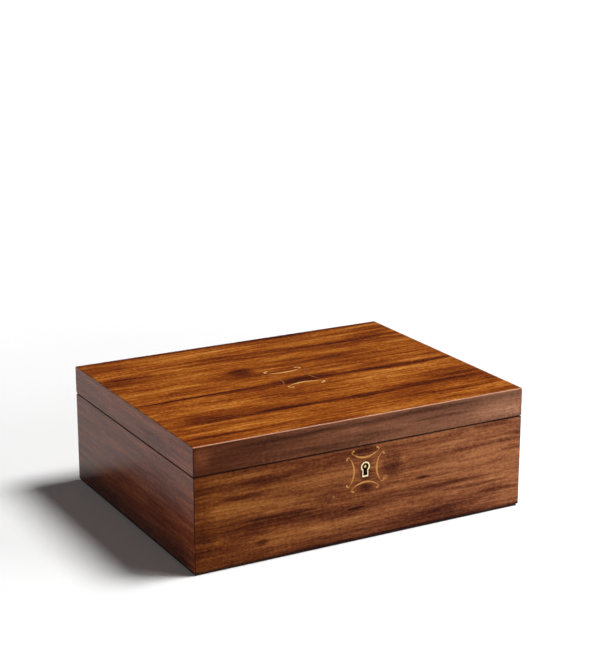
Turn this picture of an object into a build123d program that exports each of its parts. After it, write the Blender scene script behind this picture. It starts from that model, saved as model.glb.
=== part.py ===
from build123d import *
import math
import os

# Musical jewelry box with a hinged lid, a mortise lock, a lift-out tray and a small musical movement.
# All sizes are in millimetres. The origin is on the ground under the middle of the box.
# +X is to the right seen from the front, the front faces -Y and +Z is up.

# Outside of the box
width = 342.0
depth = 266.0
height = 118.0
lid_height = 27.3
wall = 12.0
seam_gap = 0.3
arris = 0.6
cut_past = 1.0
veneer = 0.8
veneer_round = 0.4
top_board_thickness = 7.0

# Felt under the walls
felt_thickness = 2.0
felt_inset = 1.2
felt_width = 9.0

# Bottom board, set up inside the walls to leave room for the key
key_recess = 12.0
board_thickness = 5.0
board_groove = 4.0

# Lining and partitions
lining = 1.2
lining_drop = 2.5
lining_window = 1.0
floor_pad_thickness = 3.0
pad_gap = 0.4
pad_corner = 3.0
pad_softness = 0.4
partition_thickness = 4.0
partition_drop = 6.55
rear_bay_depth = 69.8
music_bay_width = 113.8
ledge_width = 5.0
ledge_height = 4.0

# Lift-out tray
tray_height = 28.0
tray_clearance = 1.0
tray_base_thickness = 2.5
tray_wall = 4.0
tray_divider = 3.0
tray_divider_drop = 4.0
ring_bay_width = 100.0
ring_roll_width = 13.4
ring_roll_height = 16.0
ring_roll_gap = 0.5
tray_pad_thickness = 2.0
tab_width = 12.0
tab_thickness = 0.8
tab_rise = 4.5
tab_drop = 14.0
tab_from_middle = 20.0

# Lid lining and mirror
lid_lining_thickness = 6.0
lid_lining_gap = 0.3
mirror_width = 220.0
mirror_depth = 150.0
mirror_thickness = 2.0
mirror_frame_width = 12.0
mirror_frame_lip = 4.0
mirror_frame_thickness = 4.0

# Butt hinges in the back edge, whose bevels meet as the stop of the open lid
barrel_radius = 1.6
barrel_pocket = 0.25
hinge_pin_radius = 0.7
hinge_running = 0.05
hinge_length = 40.0
hinge_spread = 210.0
knuckles = 5
knuckle_gap = 0.2
leaf_thickness = 1.0
leaf_margin = 1.6
bevel_angle = 47.5
hinge_screw_pitch = 13.0

# Countersunk wood screws, used for the hinges and the lock
screw_head_radius = 1.5
screw_head_depth = 0.8
screw_shank_radius = 0.7
screw_length = 6.0
screw_slot = 0.4

# Keyhole and its escutcheon, let in flush with the front
keyhole_below_top = 20.25
keyhole_radius = 3.45
keyhole_slot_top = 4.2
keyhole_slot_foot = 4.4
keyhole_drop = 8.55
escutcheon_rim = 1.2
escutcheon_waist = 5.8
escutcheon_foot = 6.2
escutcheon_depth = 3.0
keyhole_cut = 4.9

# Scroll inlay on the front and on the lid
inlay_depth = 0.5
scroll_line = 1.8
scroll_dot = 1.0
scroll_tip = 0.45
curl_outer_bulge = 0.45
curl_inner_bulge = 0.12
curl_lean = 0.3
motif_below_keyhole = 2.8
front_scroll_span = 13.3
front_scroll_end = 16.6
front_scroll_dip = 11.8
front_curl = 2.8
lid_scroll_span_x = 17.6
lid_scroll_end_y = 21.6
lid_scroll_dip_y = 17.7
lid_scroll_span_y = 18.8
lid_scroll_end_x = 21.6
lid_scroll_dip_x = 15.7
lid_curl = 5.6
lid_side_curl = 3.4
lid_scroll_line = 2.5
lid_side_line = 1.9
lid_scroll_dot = 1.3

# Mortise lock, measured down from the top of the case
lock_width = 38.0
lock_height = 34.55
lock_shell = 1.0
lock_skin = 3.8
lock_plate_thickness = 1.2
lock_plate_margin = 5.0
lock_screw_edge = 1.0
lock_screw_low = 4.0
lock_screw_high = 8.0
selvedge_front_margin = 2.5
bolt_travel = 4.0
bolt_play = 0.3
bolt_bar_below_top = 14.95
bolt_bar_height = 3.4
bolt_bar_depth = 3.8
bolt_end = 9.0
talon_depth = 2.4
talon_width = 4.0
talon_notch = 6.0
tongue_below_top = 6.35
tongue_height = 3.2
tongue_depth = 2.2
tongue_rest_gap = 0.5
post_width = 1.6
staple_spread = 16.8
staple_thickness = 1.6
staple_depth = 5.2
staple_length = 8.85
staple_window_play = 0.3
staple_slot_play = 0.5
drill_pin_radius = 1.2
drill_pin_setback = 0.4
detent_stud_radius = 1.0
detent_strip = 0.5
detent_length = 9.0
detent_lead = 1.0
detent_inset = 1.0

# Musical movement, on the bottom board in the rear right bay
arbor_from_bay_left = 22.0
arbor_from_bay_front = 35.0
bedplate_thickness = 3.0
bedplate_left = 16.0
bedplate_right = 70.0
bedplate_front = 33.0
bedplate_back = 24.0
bedplate_corner = 4.0
bedplate_screw_inset = 5.0
running = 0.05
winding_arbor_radius = 2.0
board_hole_play = 1.0
housing_radius = 13.0
housing_height = 9.0
housing_wall = 1.0
housing_bore_play = 0.3
mainspring_strip = 0.5
mainspring_height = 7.0
mainspring_inner = 4.0
mainspring_gap = 0.25
mainspring_half_turns = 10

# Crown wheel on the winding arbor and the wheel that it drives on the cylinder arbor
train_module = 0.75
crown_teeth = 32
cylinder_wheel_teeth = 20
crown_face = 2.5
crown_rim_play = 0.1
crown_gap = 0.3
crown_tooth = 0.7
crown_disc = 1.8
crown_hub_radius = 3.0
crown_hub_height = 1.5
crown_tooth_rise = 0.6
crown_tooth_root = 0.9
train_tooth = 0.85
train_tooth_rise = 0.6
train_tooth_fall = 0.8

# Straight flanks of all wheel teeth, as shares of the half tooth at the pitch circle
tooth_root_share = 1.45
tooth_tip_share = 0.5

# Pinned cylinder
drum_radius = 6.5
drum_length = 30.0
drum_start = 16.2
drum_pin_radius = 0.3
drum_pin_height = 0.8
drum_pin_sunk = 0.2
pins_per_track = 5
pin_track_turn = 47
pin_scatter = 13
pin_scatter_limit = 29
cylinder_arbor_radius = 1.5
cylinder_arbor_end = 1.0
bracket_thickness = 1.5
bracket_gap = 0.6
bracket_half_width = 5.0
bracket_top = 4.0

# Comb
comb_teeth = 18
comb_tooth_width = 1.1
comb_slot = 0.45
comb_thickness = 1.2
comb_length = 24.0
comb_gap = 0.35
comb_longest_tooth = 16.0
comb_shortest_tooth = 9.0
comb_seat = 6.0
comb_screw_spread = 9.8

# Air brake governor
end_wheel_teeth = 36
pinion_teeth = 8
governor_module = 0.5
governor_tooth = 0.5
governor_tooth_rise = 0.4
governor_tooth_fall = 0.65
end_wheel_width = 1.6
end_wheel_gap = 1.1
governor_arbor_radius = 1.0
worm_wheel_teeth = 18
worm_module = 0.6
worm_wheel_width = 1.6
worm_wheel_tooth = 0.6
worm_wheel_rise = 0.45
worm_wheel_fall = 0.7
worm_radius = 1.8
worm_core_radius = 1.15
worm_thread_rise = 0.4
worm_thread_sunk = 0.15
worm_thread_root = 0.84
worm_thread_crest = 0.4
worm_core_end = 1.0
worm_turns = 4.5
worm_wheel_gap = 2.4
governor_plate_gap = 1.9
governor_arm = 2.0
governor_arm_end = 2.5
governor_arm_width = 4.4
governor_arm_gap = 2.0
lower_arm_height = 3.0
pivot_end = 0.5
fan_radius = 7.0
fan_height = 4.0
fan_blade = 0.6
fan_hub_radius = 2.0
fan_gap = 1.0
fan_blade_gap = 0.4

# Cheese-head screws of the movement
movement_head_radius = 2.0
movement_head_height = 1.4
movement_shank_radius = 1.1
movement_screw_length = 6.0

# Stop plunger that holds the fan while the lid is shut
plunger_radius = 1.5
plunger_from_bay_back = 4.3
plunger_button_radius = 2.5
plunger_button_height = 2.0
plunger_clear = 0.3
plunger_foot = 5.0
guide_post_width = 7.6
guide_post_height = 21.0
stop_arm_thickness = 1.4
stop_arm_width = 1.6
stop_pad_radius = 2.0
stop_block_width = 10.0

# Glazed cover over the movement
cover_thickness = 4.0
cover_border = 8.0
cover_gap = 0.3
glass_thickness = 2.0
glass_rebate = 3.0

# Winding key
key_span = 32.0
key_height = 8.0
key_blade = 2.4
key_hub_radius = 4.0
key_ground_gap = 3.5
key_floor = 1.0
key_board_gap = 1.0
key_eye_radius = 2.0

# Places that follow from the sizes above
half_width = width / 2
half_depth = depth / 2
seam = height - lid_height
case_top = seam - seam_gap / 2
lid_bottom = seam + seam_gap / 2
lid_top = height - veneer
front_face = -half_depth
front_inside = -half_depth + wall
board_bottom = felt_thickness + key_recess
floor_top = board_bottom + board_thickness
room_x = half_width - wall - lining
room_y = half_depth - wall - lining
partition_top = case_top - partition_drop
partition_back = room_y - rear_bay_depth
partition_front = partition_back - partition_thickness
bay_left = room_x - music_bay_width

tray_top = partition_top
tray_bottom = tray_top - tray_height
tray_floor = tray_bottom + tray_base_thickness
tray_x = room_x - tray_clearance
tray_front = -room_y + tray_clearance
tray_back = partition_front - tray_clearance
tray_inner_x = tray_x - tray_wall
tray_inner_front = tray_front + tray_wall
tray_inner_back = tray_back - tray_wall
tray_middle_y = (tray_inner_front + tray_inner_back) / 2
divider_x = ring_bay_width / 2 + tray_divider / 2

top_board_bottom = lid_top - top_board_thickness
lid_lining_bottom = top_board_bottom - lid_lining_thickness
hinge_y = half_depth - barrel_radius
hinge_centres = (-hinge_spread / 2, hinge_spread / 2)
leaf_edge = hinge_y - barrel_radius - barrel_pocket
leaf_inner = half_depth - wall + leaf_margin
leaf_screw_y = (leaf_edge + leaf_inner) / 2

lock_half = lock_width / 2
lock_bottom = case_top - lock_height
lock_front = front_face + lock_skin
lock_back = front_inside - lock_plate_thickness
lock_middle_y = (lock_front + lock_shell + lock_back) / 2
lock_plate_half = lock_half + lock_plate_margin
lock_plate_bottom = lock_bottom - lock_plate_margin + lock_shell
selvedge_bottom = case_top - lock_plate_thickness
selvedge_front = front_face + selvedge_front_margin
lock_screw_x = lock_plate_half - screw_head_radius - lock_screw_edge
selvedge_screw_y = (selvedge_front + front_inside) / 2
staple_centres = (-staple_spread / 2, staple_spread / 2)
staple_bottom = lid_bottom - staple_length
bolt_bar_bottom = case_top - bolt_bar_below_top
tongue_bottom = case_top - tongue_below_top
keyhole_height = case_top - keyhole_below_top
front_motif_height = keyhole_height - motif_below_keyhole

arbor_x = bay_left + arbor_from_bay_left
arbor_y = partition_back + arbor_from_bay_front
bedplate_top = floor_top + bedplate_thickness
housing_top = bedplate_top + housing_height
crown_radius = train_module * crown_teeth / 2
cylinder_wheel_radius = train_module * cylinder_wheel_teeth / 2
crown_middle = crown_radius - crown_rim_play
crown_disc_bottom = housing_top + crown_gap
crown_disc_top = crown_disc_bottom + crown_disc
mesh_height = crown_disc_top + crown_tooth_root
axis_height = mesh_height + cylinder_wheel_radius
drum_x = arbor_x + drum_start
drum_end = drum_x + drum_length
left_bracket_x = drum_x - bracket_gap - bracket_thickness
right_bracket_x = drum_end + bracket_gap
end_wheel_x = right_bracket_x + bracket_thickness + end_wheel_gap
end_wheel_radius = governor_module * end_wheel_teeth / 2
pinion_radius = governor_module * pinion_teeth / 2
governor_y = arbor_y + end_wheel_radius + pinion_radius
worm_wheel_radius = worm_module * worm_wheel_teeth / 2
worm_wheel_x = end_wheel_x + end_wheel_width + worm_wheel_gap
worm_x = worm_wheel_x + worm_wheel_width / 2
worm_y = governor_y + worm_wheel_radius + worm_radius
worm_pitch = math.pi * worm_module
governor_plate_x = worm_wheel_x + worm_wheel_width + governor_plate_gap
upper_arm_bottom = axis_height + worm_wheel_radius + governor_arm_gap
lower_arm_bottom = bedplate_top + lower_arm_height
fan_bottom = upper_arm_bottom + governor_arm + fan_gap
fan_top = fan_bottom + fan_height
comb_tip_y = arbor_y - drum_radius - drum_pin_height - comb_gap
comb_back_y = comb_tip_y - comb_length
comb_mid_x = drum_x + drum_length / 2
comb_pitch = comb_tooth_width + comb_slot
comb_half = comb_teeth * comb_pitch / 2
mainspring_step = mainspring_strip + mainspring_gap

plunger_x = worm_x
plunger_y = room_y - plunger_from_bay_back
plunger_top = case_top + plunger_clear
stop_arm_bottom = fan_top + plunger_clear
stop_block_bottom = plunger_top + plunger_clear
cover_bottom = partition_top - cover_thickness
key_bottom = key_ground_gap
key_top = key_bottom + key_height

FRONT, RIGHT, BACK, LEFT = range(4)
part_log = []


def save(builder, name):
    """Label a finished piece and write its STEP file."""
    builder.part.label = name
    export_step(builder.part, f"parts/{name}.step")
    part_log.append(name)


def block(x, y, z, mode=Mode.ADD):
    """A box between two values of X, of Y and of Z."""
    with Locations(((x[0] + x[1]) / 2, (y[0] + y[1]) / 2, (z[0] + z[1]) / 2)):
        Box(x[1] - x[0], y[1] - y[0], z[1] - z[0], mode=mode)


def around(middle, size):
    """The two ends of a size that is centred on a value."""
    return middle - size / 2, middle + size / 2


def post(x, y, z, radius, mode=Mode.ADD):
    """An upright cylinder between two heights."""
    with Locations((x, y, (z[0] + z[1]) / 2)):
        Cylinder(radius, z[1] - z[0], mode=mode)


def rod_along_x(x, y, z, radius, mode=Mode.ADD):
    """A cylinder along X between two values of X."""
    with Locations(((x[0] + x[1]) / 2, y, z)):
        Cylinder(radius, x[1] - x[0], rotation=(0, 90, 0), mode=mode)


def rod_along_y(x, y, z, radius, mode=Mode.ADD):
    """A cylinder along Y between two values of Y."""
    with Locations((x, (y[0] + y[1]) / 2, z)):
        Cylinder(radius, y[1] - y[0], rotation=(90, 0, 0), mode=mode)


def mitred_wall(side, low, high):
    """One of four walls, mitred at both ends, between two heights."""
    outer = [
        (-half_width, -half_depth),
        (half_width, -half_depth),
        (half_width, half_depth),
        (-half_width, half_depth),
    ]
    inner = [(x - math.copysign(wall, x), y - math.copysign(wall, y)) for x, y in outer]
    after = (side + 1) % 4
    with BuildSketch(Plane.XY.offset(low)) as footprint:
        Polygon(outer[side], outer[after], inner[after], inner[side], align=None)
    extrude(footprint.sketch, amount=high - low)


def hinge_bevel(edge_height, direction):
    """Cut the bevel along the back edge, downwards (-1) or upwards (+1) from the seam."""
    fall = barrel_radius * math.tan(math.radians(bevel_angle))
    slope = (barrel_radius + cut_past) / barrel_radius
    with BuildSketch(Plane.YZ) as profile:
        Polygon(
            (hinge_y, edge_height),
            (half_depth + cut_past, edge_height),
            (half_depth + cut_past, edge_height + direction * fall * slope),
            align=None,
        )
    extrude(profile.sketch, amount=half_width + cut_past, both=True, mode=Mode.SUBTRACT)


def barrel_pockets():
    """Cut the round pockets that the hinge barrels lie in."""
    for x in hinge_centres:
        rod_along_x(
            around(x, hinge_length + 2 * knuckle_gap),
            hinge_y,
            seam,
            barrel_radius + barrel_pocket,
            mode=Mode.SUBTRACT,
        )


def countersunk_screw(length):
    """A countersunk screw that points down, with the top of its head at the origin."""
    with BuildPart(mode=Mode.PRIVATE) as screw:
        with BuildSketch(Plane.XZ) as half:
            Polygon(
                (0, 0),
                (screw_head_radius, 0),
                (screw_shank_radius, -screw_head_depth),
                (screw_shank_radius, -length + screw_shank_radius),
                (0, -length),
                align=None,
            )
        revolve(half.sketch, axis=Axis.Z)
    return screw.part


def cheese_head_screw(length):
    """A cheese-head screw that points down, with its head standing on the origin."""
    with BuildPart(mode=Mode.PRIVATE) as screw:
        post(0, 0, (0, movement_head_height), movement_head_radius)
        post(0, 0, (-length, 0), movement_shank_radius)
    return screw.part


def slot_cut(x, y, z, radius):
    """The screwdriver slot across the head of an upright screw."""
    block(around(x, 2 * radius), around(y, screw_slot), around(z, 2 * screw_slot), mode=Mode.SUBTRACT)


def polar(radius, degrees):
    return radius * math.cos(math.radians(degrees)), radius * math.sin(math.radians(degrees))


def gear_points(teeth, module, first, thickness, rise, fall):
    """The outline of a wheel with straight-sided teeth, one of them centred on the first angle."""
    pitch = module * teeth / 2
    half = math.degrees(thickness / pitch / 2)
    points = []
    for tooth in range(teeth):
        angle = first + tooth * 360 / teeth
        points.append(polar(pitch - fall, angle - tooth_root_share * half))
        points.append(polar(pitch + rise, angle - tooth_tip_share * half))
        points.append(polar(pitch + rise, angle + tooth_tip_share * half))
        points.append(polar(pitch - fall, angle + tooth_root_share * half))
    return points


def wheel_along_x(x, y, z, points):
    """A toothed wheel with its axis along X, from the outline of its teeth in Y and Z."""
    with BuildSketch(Plane.YZ.offset(x[0])) as outline:
        Polygon(*[(y + a, z + b) for a, b in points], align=None)
    extrude(outline.sketch, amount=x[1] - x[0])


def scroll(span, end, dip, curl, line, dot):
    """One inlaid scroll: a crescent that sags towards the middle, with a curl and a dot at each end."""
    with BuildSketch(mode=Mode.PRIVATE) as shape:
        with BuildLine():
            ThreePointArc((-span, end), (0, dip + line / 2), (span, end))
            ThreePointArc((span, end), (0, dip - line / 2), (-span, end))
        make_face()
        for side in (-1, 1):
            with BuildLine():
                foot = (side * span, end)
                tip = (side * (span - curl_lean * curl), end + curl)
                ThreePointArc(foot, (side * (span + curl_outer_bulge * curl), end + curl / 2), tip)
                ThreePointArc(tip, (side * (span + curl_inner_bulge * curl), end + curl / 2), foot)
            make_face()
        with Locations((-span, end), (span, end)):
            Circle(scroll_tip)
        with Locations((-span + curl_lean * curl, end + curl), (span - curl_lean * curl, end + curl)):
            Circle(dot)
    return shape.sketch


def scroll_motif(across, upright):
    """Four scrolls back to back: two across the motif and two upright beside it."""
    return [
        across,
        across.rotate(Axis.Z, 180),
        upright.rotate(Axis.Z, 90),
        upright.rotate(Axis.Z, -90),
    ]


os.makedirs("parts", exist_ok=True)

# Screws of the case and of the lid, cut into the wood and the brass that they hold
case_screw_places = []
lid_screw_places = []
for centre in hinge_centres:
    for step in (-1, 0, 1):
        place = (centre + step * hinge_screw_pitch, leaf_screw_y)
        case_screw_places.append(Location((*place, case_top)))
        lid_screw_places.append(Location((*place, lid_bottom), (180, 0, 0)))
for side in (-1, 1):
    case_screw_places.append(Location((side * lock_screw_x, selvedge_screw_y, case_top)))
    lid_screw_places.append(Location((side * lock_screw_x, selvedge_screw_y, lid_bottom), (180, 0, 0)))
    for z in (lock_plate_bottom + lock_screw_low, selvedge_bottom - lock_screw_high):
        case_screw_places.append(Location((side * lock_screw_x, front_inside, z), (-90, 0, 0)))

wood_screw = countersunk_screw(screw_length)

with BuildPart() as case_screw_blanks:
    with Locations(*case_screw_places):
        add(wood_screw)

with BuildPart() as lid_screw_blanks:
    with Locations(*lid_screw_places):
        add(wood_screw)

with BuildPart() as slot_blade:
    Box(2 * screw_head_radius, screw_slot, screw_slot)

with BuildPart() as case_brass_screws:
    add(case_screw_blanks.part)
    with Locations(*case_screw_places):
        add(slot_blade.part, mode=Mode.SUBTRACT)
save(case_brass_screws, "case_brass_screws")

with BuildPart() as lid_brass_screws:
    add(lid_screw_blanks.part)
    with Locations(*lid_screw_places):
        add(slot_blade.part, mode=Mode.SUBTRACT)
save(lid_brass_screws, "lid_brass_screws")

# Escutcheon: a brass keyhole thread, flush with the front
with BuildSketch(Plane.XZ) as keyhole:
    with Locations((0, keyhole_height)):
        Circle(keyhole_radius)
    Polygon(
        (-keyhole_slot_top / 2, keyhole_height),
        (keyhole_slot_top / 2, keyhole_height),
        (keyhole_slot_foot / 2, keyhole_height - keyhole_drop),
        (-keyhole_slot_foot / 2, keyhole_height - keyhole_drop),
        align=None,
    )

with BuildSketch(Plane.XZ) as escutcheon_outline:
    with Locations((0, keyhole_height)):
        Circle(keyhole_radius + escutcheon_rim)
    Polygon(
        (-escutcheon_waist / 2, keyhole_height),
        (escutcheon_waist / 2, keyhole_height),
        (escutcheon_foot / 2, keyhole_height - keyhole_drop - escutcheon_rim),
        (-escutcheon_foot / 2, keyhole_height - keyhole_drop - escutcheon_rim),
        align=None,
    )

with BuildPart() as escutcheon_blank:
    with Locations((0, front_face, 0)):
        add(extrude(escutcheon_outline.sketch, amount=-escutcheon_depth, mode=Mode.PRIVATE))

with BuildPart() as keyhole_cutter:
    with Locations((0, front_face, 0)):
        add(extrude(keyhole.sketch, amount=-keyhole_cut, mode=Mode.PRIVATE))

with BuildPart() as keyhole_escutcheon:
    add(escutcheon_blank.part)
    add(keyhole_cutter.part, mode=Mode.SUBTRACT)
save(keyhole_escutcheon, "keyhole_escutcheon")

# Boxwood scrolls round the keyhole and in the middle of the lid
front_scroll = scroll(
    front_scroll_span, front_scroll_end, front_scroll_dip, front_curl, scroll_line, scroll_dot
)
with BuildPart() as front_scroll_inlay:
    with Locations(Plane(origin=(0, front_face, front_motif_height), x_dir=(1, 0, 0), z_dir=(0, -1, 0))):
        for piece in scroll_motif(front_scroll, front_scroll):
            add(extrude(piece, amount=-inlay_depth, mode=Mode.PRIVATE))
save(front_scroll_inlay, "front_scroll_inlay")

across_scroll = scroll(
    lid_scroll_span_x, lid_scroll_end_y, lid_scroll_dip_y, lid_curl, lid_scroll_line, lid_scroll_dot
)
upright_scroll = scroll(
    lid_scroll_span_y, lid_scroll_end_x, lid_scroll_dip_x, lid_side_curl, lid_side_line, scroll_dot
)
with BuildPart() as lid_scroll_inlay:
    with Locations((0, 0, height)):
        for piece in scroll_motif(across_scroll, upright_scroll):
            add(extrude(piece, amount=-inlay_depth, mode=Mode.PRIVATE))
save(lid_scroll_inlay, "lid_scroll_inlay")

# Hinges: leaves let into the wood, knuckles round one pin
knuckle_length = hinge_length / knuckles


def hinge_leaf(low, high, first_knuckle, screws):
    """Both leaves of one side: a plate, and every second knuckle on it."""
    for x in hinge_centres:
        left = x - hinge_length / 2
        block((left, left + hinge_length), (leaf_inner, leaf_edge), (low, high))
        for knuckle in range(first_knuckle, knuckles, 2):
            ends = around(left + (knuckle + 0.5) * knuckle_length, knuckle_length - knuckle_gap)
            rod_along_x(ends, hinge_y, seam, barrel_radius)
            block(ends, (leaf_edge, hinge_y), (low, high))
    for x in hinge_centres:
        bore_radius = hinge_pin_radius + hinge_running
        rod_along_x(around(x, hinge_length), hinge_y, seam, bore_radius, mode=Mode.SUBTRACT)
    add(screws, mode=Mode.SUBTRACT)


with BuildPart() as hinge_lower_leaves:
    hinge_leaf(case_top - leaf_thickness, case_top, 0, case_screw_blanks.part)
save(hinge_lower_leaves, "hinge_lower_leaves")

with BuildPart() as hinge_upper_leaves:
    hinge_leaf(lid_bottom, lid_bottom + leaf_thickness, 1, lid_screw_blanks.part)
save(hinge_upper_leaves, "hinge_upper_leaves")

with BuildPart() as hinge_pins:
    for x in hinge_centres:
        rod_along_x(around(x, hinge_length), hinge_y, seam, hinge_pin_radius)
save(hinge_pins, "hinge_pins")

# Case walls, mitred at the corners and grooved for the bottom board
board_half_x = half_width - wall + board_groove
board_half_y = half_depth - wall + board_groove
board_z = (board_bottom, floor_top)


def board_groove_cut():
    block((-board_half_x, board_half_x), (-board_half_y, board_half_y), board_z, mode=Mode.SUBTRACT)


def ease_seam_arris(part, along, level, end):
    """Ease the outer arris of a wall at the seam: at its top (-1) or its bottom (0)."""
    across = Axis.Y if along == Axis.X else Axis.X
    edges = part.edges().filter_by(along).group_by(Axis.Z)[level].sort_by(across)
    chamfer(edges[end], arris)


with BuildPart() as case_front_panel:
    mitred_wall(FRONT, felt_thickness, case_top)
    ease_seam_arris(case_front_panel, Axis.X, -1, 0)
    board_groove_cut()
    block((-lock_half, lock_half), (lock_front, front_inside), (lock_bottom, case_top), mode=Mode.SUBTRACT)
    plate_x = (-lock_plate_half, lock_plate_half)
    block(plate_x, (lock_back, front_inside), (lock_plate_bottom, case_top), mode=Mode.SUBTRACT)
    block(plate_x, (selvedge_front, front_inside), (selvedge_bottom, case_top), mode=Mode.SUBTRACT)
    add(keyhole_cutter.part, mode=Mode.SUBTRACT)
    add(escutcheon_blank.part, mode=Mode.SUBTRACT)
    add(front_scroll_inlay.part, mode=Mode.SUBTRACT)
    add(case_screw_blanks.part, mode=Mode.SUBTRACT)
save(case_front_panel, "case_front_panel")

with BuildPart() as case_back_panel:
    mitred_wall(BACK, felt_thickness, case_top)
    hinge_bevel(case_top, -1)
    board_groove_cut()
    barrel_pockets()
    leaf_z = (case_top - leaf_thickness, case_top)
    for x in hinge_centres:
        block(around(x, hinge_length), (leaf_inner, hinge_y), leaf_z, mode=Mode.SUBTRACT)
    add(case_screw_blanks.part, mode=Mode.SUBTRACT)
save(case_back_panel, "case_back_panel")

with BuildPart() as case_left_panel:
    mitred_wall(LEFT, felt_thickness, case_top)
    ease_seam_arris(case_left_panel, Axis.Y, -1, 0)
    hinge_bevel(case_top, -1)
    board_groove_cut()
save(case_left_panel, "case_left_panel")

with BuildPart() as case_right_panel:
    mitred_wall(RIGHT, felt_thickness, case_top)
    ease_seam_arris(case_right_panel, Axis.Y, -1, -1)
    hinge_bevel(case_top, -1)
    board_groove_cut()
save(case_right_panel, "case_right_panel")

with BuildPart() as base_felt_strips:
    felt_x = half_width - felt_inset
    felt_y = half_depth - felt_inset
    for y in (-felt_y, felt_y - felt_width):
        block((-felt_x, felt_x), (y, y + felt_width), (0, felt_thickness))
    for x in (-felt_x, felt_x - felt_width):
        block((x, x + felt_width), (-felt_y + felt_width, felt_y - felt_width), (0, felt_thickness))
save(base_felt_strips, "base_felt_strips")

# Bedplate and movement screws
bedplate_x = (arbor_x - bedplate_left, arbor_x + bedplate_right)
bedplate_y = (arbor_y - bedplate_front, arbor_y + bedplate_back)
movement_screw_places = [
    (x, y, bedplate_top)
    for x in (bedplate_x[0] + bedplate_screw_inset, bedplate_x[1] - bedplate_screw_inset)
    for y in (bedplate_y[0] + bedplate_screw_inset, bedplate_y[1] - bedplate_screw_inset)
]
comb_top = axis_height + comb_thickness / 2
comb_bottom = axis_height - comb_thickness / 2
comb_screw_y = comb_back_y + comb_seat / 2
for offset in (-1, 0, 1):
    movement_screw_places.append((comb_mid_x + offset * comb_screw_spread, comb_screw_y, comb_top))

movement_screw = cheese_head_screw(movement_screw_length)
with BuildPart() as movement_screw_blanks:
    with Locations(*movement_screw_places):
        add(movement_screw)

with BuildPart() as movement_screws:
    add(movement_screw_blanks.part)
    for x, y, z in movement_screw_places:
        slot_cut(x, y, z + movement_head_height, movement_head_radius)
save(movement_screws, "movement_screws")

with BuildPart() as bottom_board:
    block((-board_half_x, board_half_x), (-board_half_y, board_half_y), board_z)
    post(arbor_x, arbor_y, board_z, winding_arbor_radius + board_hole_play, mode=Mode.SUBTRACT)
    add(movement_screw_blanks.part, mode=Mode.SUBTRACT)
save(bottom_board, "bottom_board")

with BuildPart() as movement_bedplate:
    with BuildSketch(Plane.XY.offset(floor_top)) as bed_outline:
        with Locations((sum(bedplate_x) / 2, sum(bedplate_y) / 2)):
            RectangleRounded(bedplate_x[1] - bedplate_x[0], bedplate_y[1] - bedplate_y[0], bedplate_corner)
    extrude(amount=bedplate_thickness)
    post(arbor_x, arbor_y, (floor_top, bedplate_top), winding_arbor_radius + running, mode=Mode.SUBTRACT)
    add(movement_screw_blanks.part, mode=Mode.SUBTRACT)
save(movement_bedplate, "movement_bedplate")

# Spring housing with the mainspring round the winding arbor
with BuildPart() as spring_housing:
    post(arbor_x, arbor_y, (bedplate_top, housing_top), housing_radius)
    hollow_z = (bedplate_top, housing_top - housing_wall)
    post(arbor_x, arbor_y, hollow_z, housing_radius - housing_wall, mode=Mode.SUBTRACT)
    bore_radius = winding_arbor_radius + housing_bore_play
    post(arbor_x, arbor_y, (bedplate_top, housing_top), bore_radius, mode=Mode.SUBTRACT)
save(spring_housing, "spring_housing")


def spiral_edge(offset):
    """Half circles that grow by one step each, as one edge of the spring's strip."""
    arcs = []
    for turn in range(mainspring_half_turns):
        way = 1 if turn % 2 == 0 else -1
        centre = 0 if turn % 2 == 0 else mainspring_step
        radius = mainspring_inner + turn * mainspring_step + offset
        start = (centre + way * radius, 0)
        top = (centre, way * radius)
        end = (centre - way * radius, 0)
        arcs.append((start, top, end))
    return arcs


with BuildPart() as mainspring:
    with BuildSketch(Plane((arbor_x, arbor_y, bedplate_top + housing_wall))) as strip:
        with BuildLine():
            inner_edge = spiral_edge(-mainspring_strip / 2)
            outer_edge = spiral_edge(mainspring_strip / 2)
            for arc in inner_edge:
                ThreePointArc(*arc)
            for arc in outer_edge:
                ThreePointArc(*arc)
            Line(inner_edge[0][0], outer_edge[0][0])
            Line(inner_edge[-1][2], outer_edge[-1][2])
        make_face()
    extrude(amount=mainspring_height)
save(mainspring, "mainspring")

# Winding arbor with its crown wheel, and the key under the bottom board
with BuildPart() as winding_arbor:
    post(arbor_x, arbor_y, (key_bottom + key_floor, crown_disc_top), winding_arbor_radius)
    post(arbor_x, arbor_y, (crown_disc_bottom, crown_disc_top), crown_middle + crown_face / 2)
    with Locations((arbor_x, arbor_y, crown_disc_top + (crown_tooth_root + crown_tooth_rise) / 2)):
        with PolarLocations(crown_middle, crown_teeth):
            Box(crown_face, crown_tooth, crown_tooth_root + crown_tooth_rise)
    post(arbor_x, arbor_y, (crown_disc_top, crown_disc_top + crown_hub_height), crown_hub_radius)
save(winding_arbor, "winding_arbor")

with BuildPart() as winding_key:
    with BuildSketch(Plane.XZ.offset(-arbor_y + key_blade / 2)) as blade:
        with Locations((arbor_x, (key_bottom + key_top) / 2)):
            SlotOverall(key_span, key_height)
        for side in (-1, 1):
            with Locations((arbor_x + side * (key_span / 2 - key_height / 2), (key_bottom + key_top) / 2)):
                Circle(key_eye_radius, mode=Mode.SUBTRACT)
    extrude(amount=-key_blade)
    post(arbor_x, arbor_y, (key_bottom, board_bottom - key_board_gap), key_hub_radius)
    post(arbor_x, arbor_y, (key_bottom + key_floor, board_bottom), winding_arbor_radius, mode=Mode.SUBTRACT)
save(winding_key, "winding_key")

# Pinned cylinder on its arbor, between two brackets
cylinder_wheel_x = around(arbor_x + crown_middle, crown_face)
end_wheel_span = (end_wheel_x, end_wheel_x + end_wheel_width)

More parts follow.
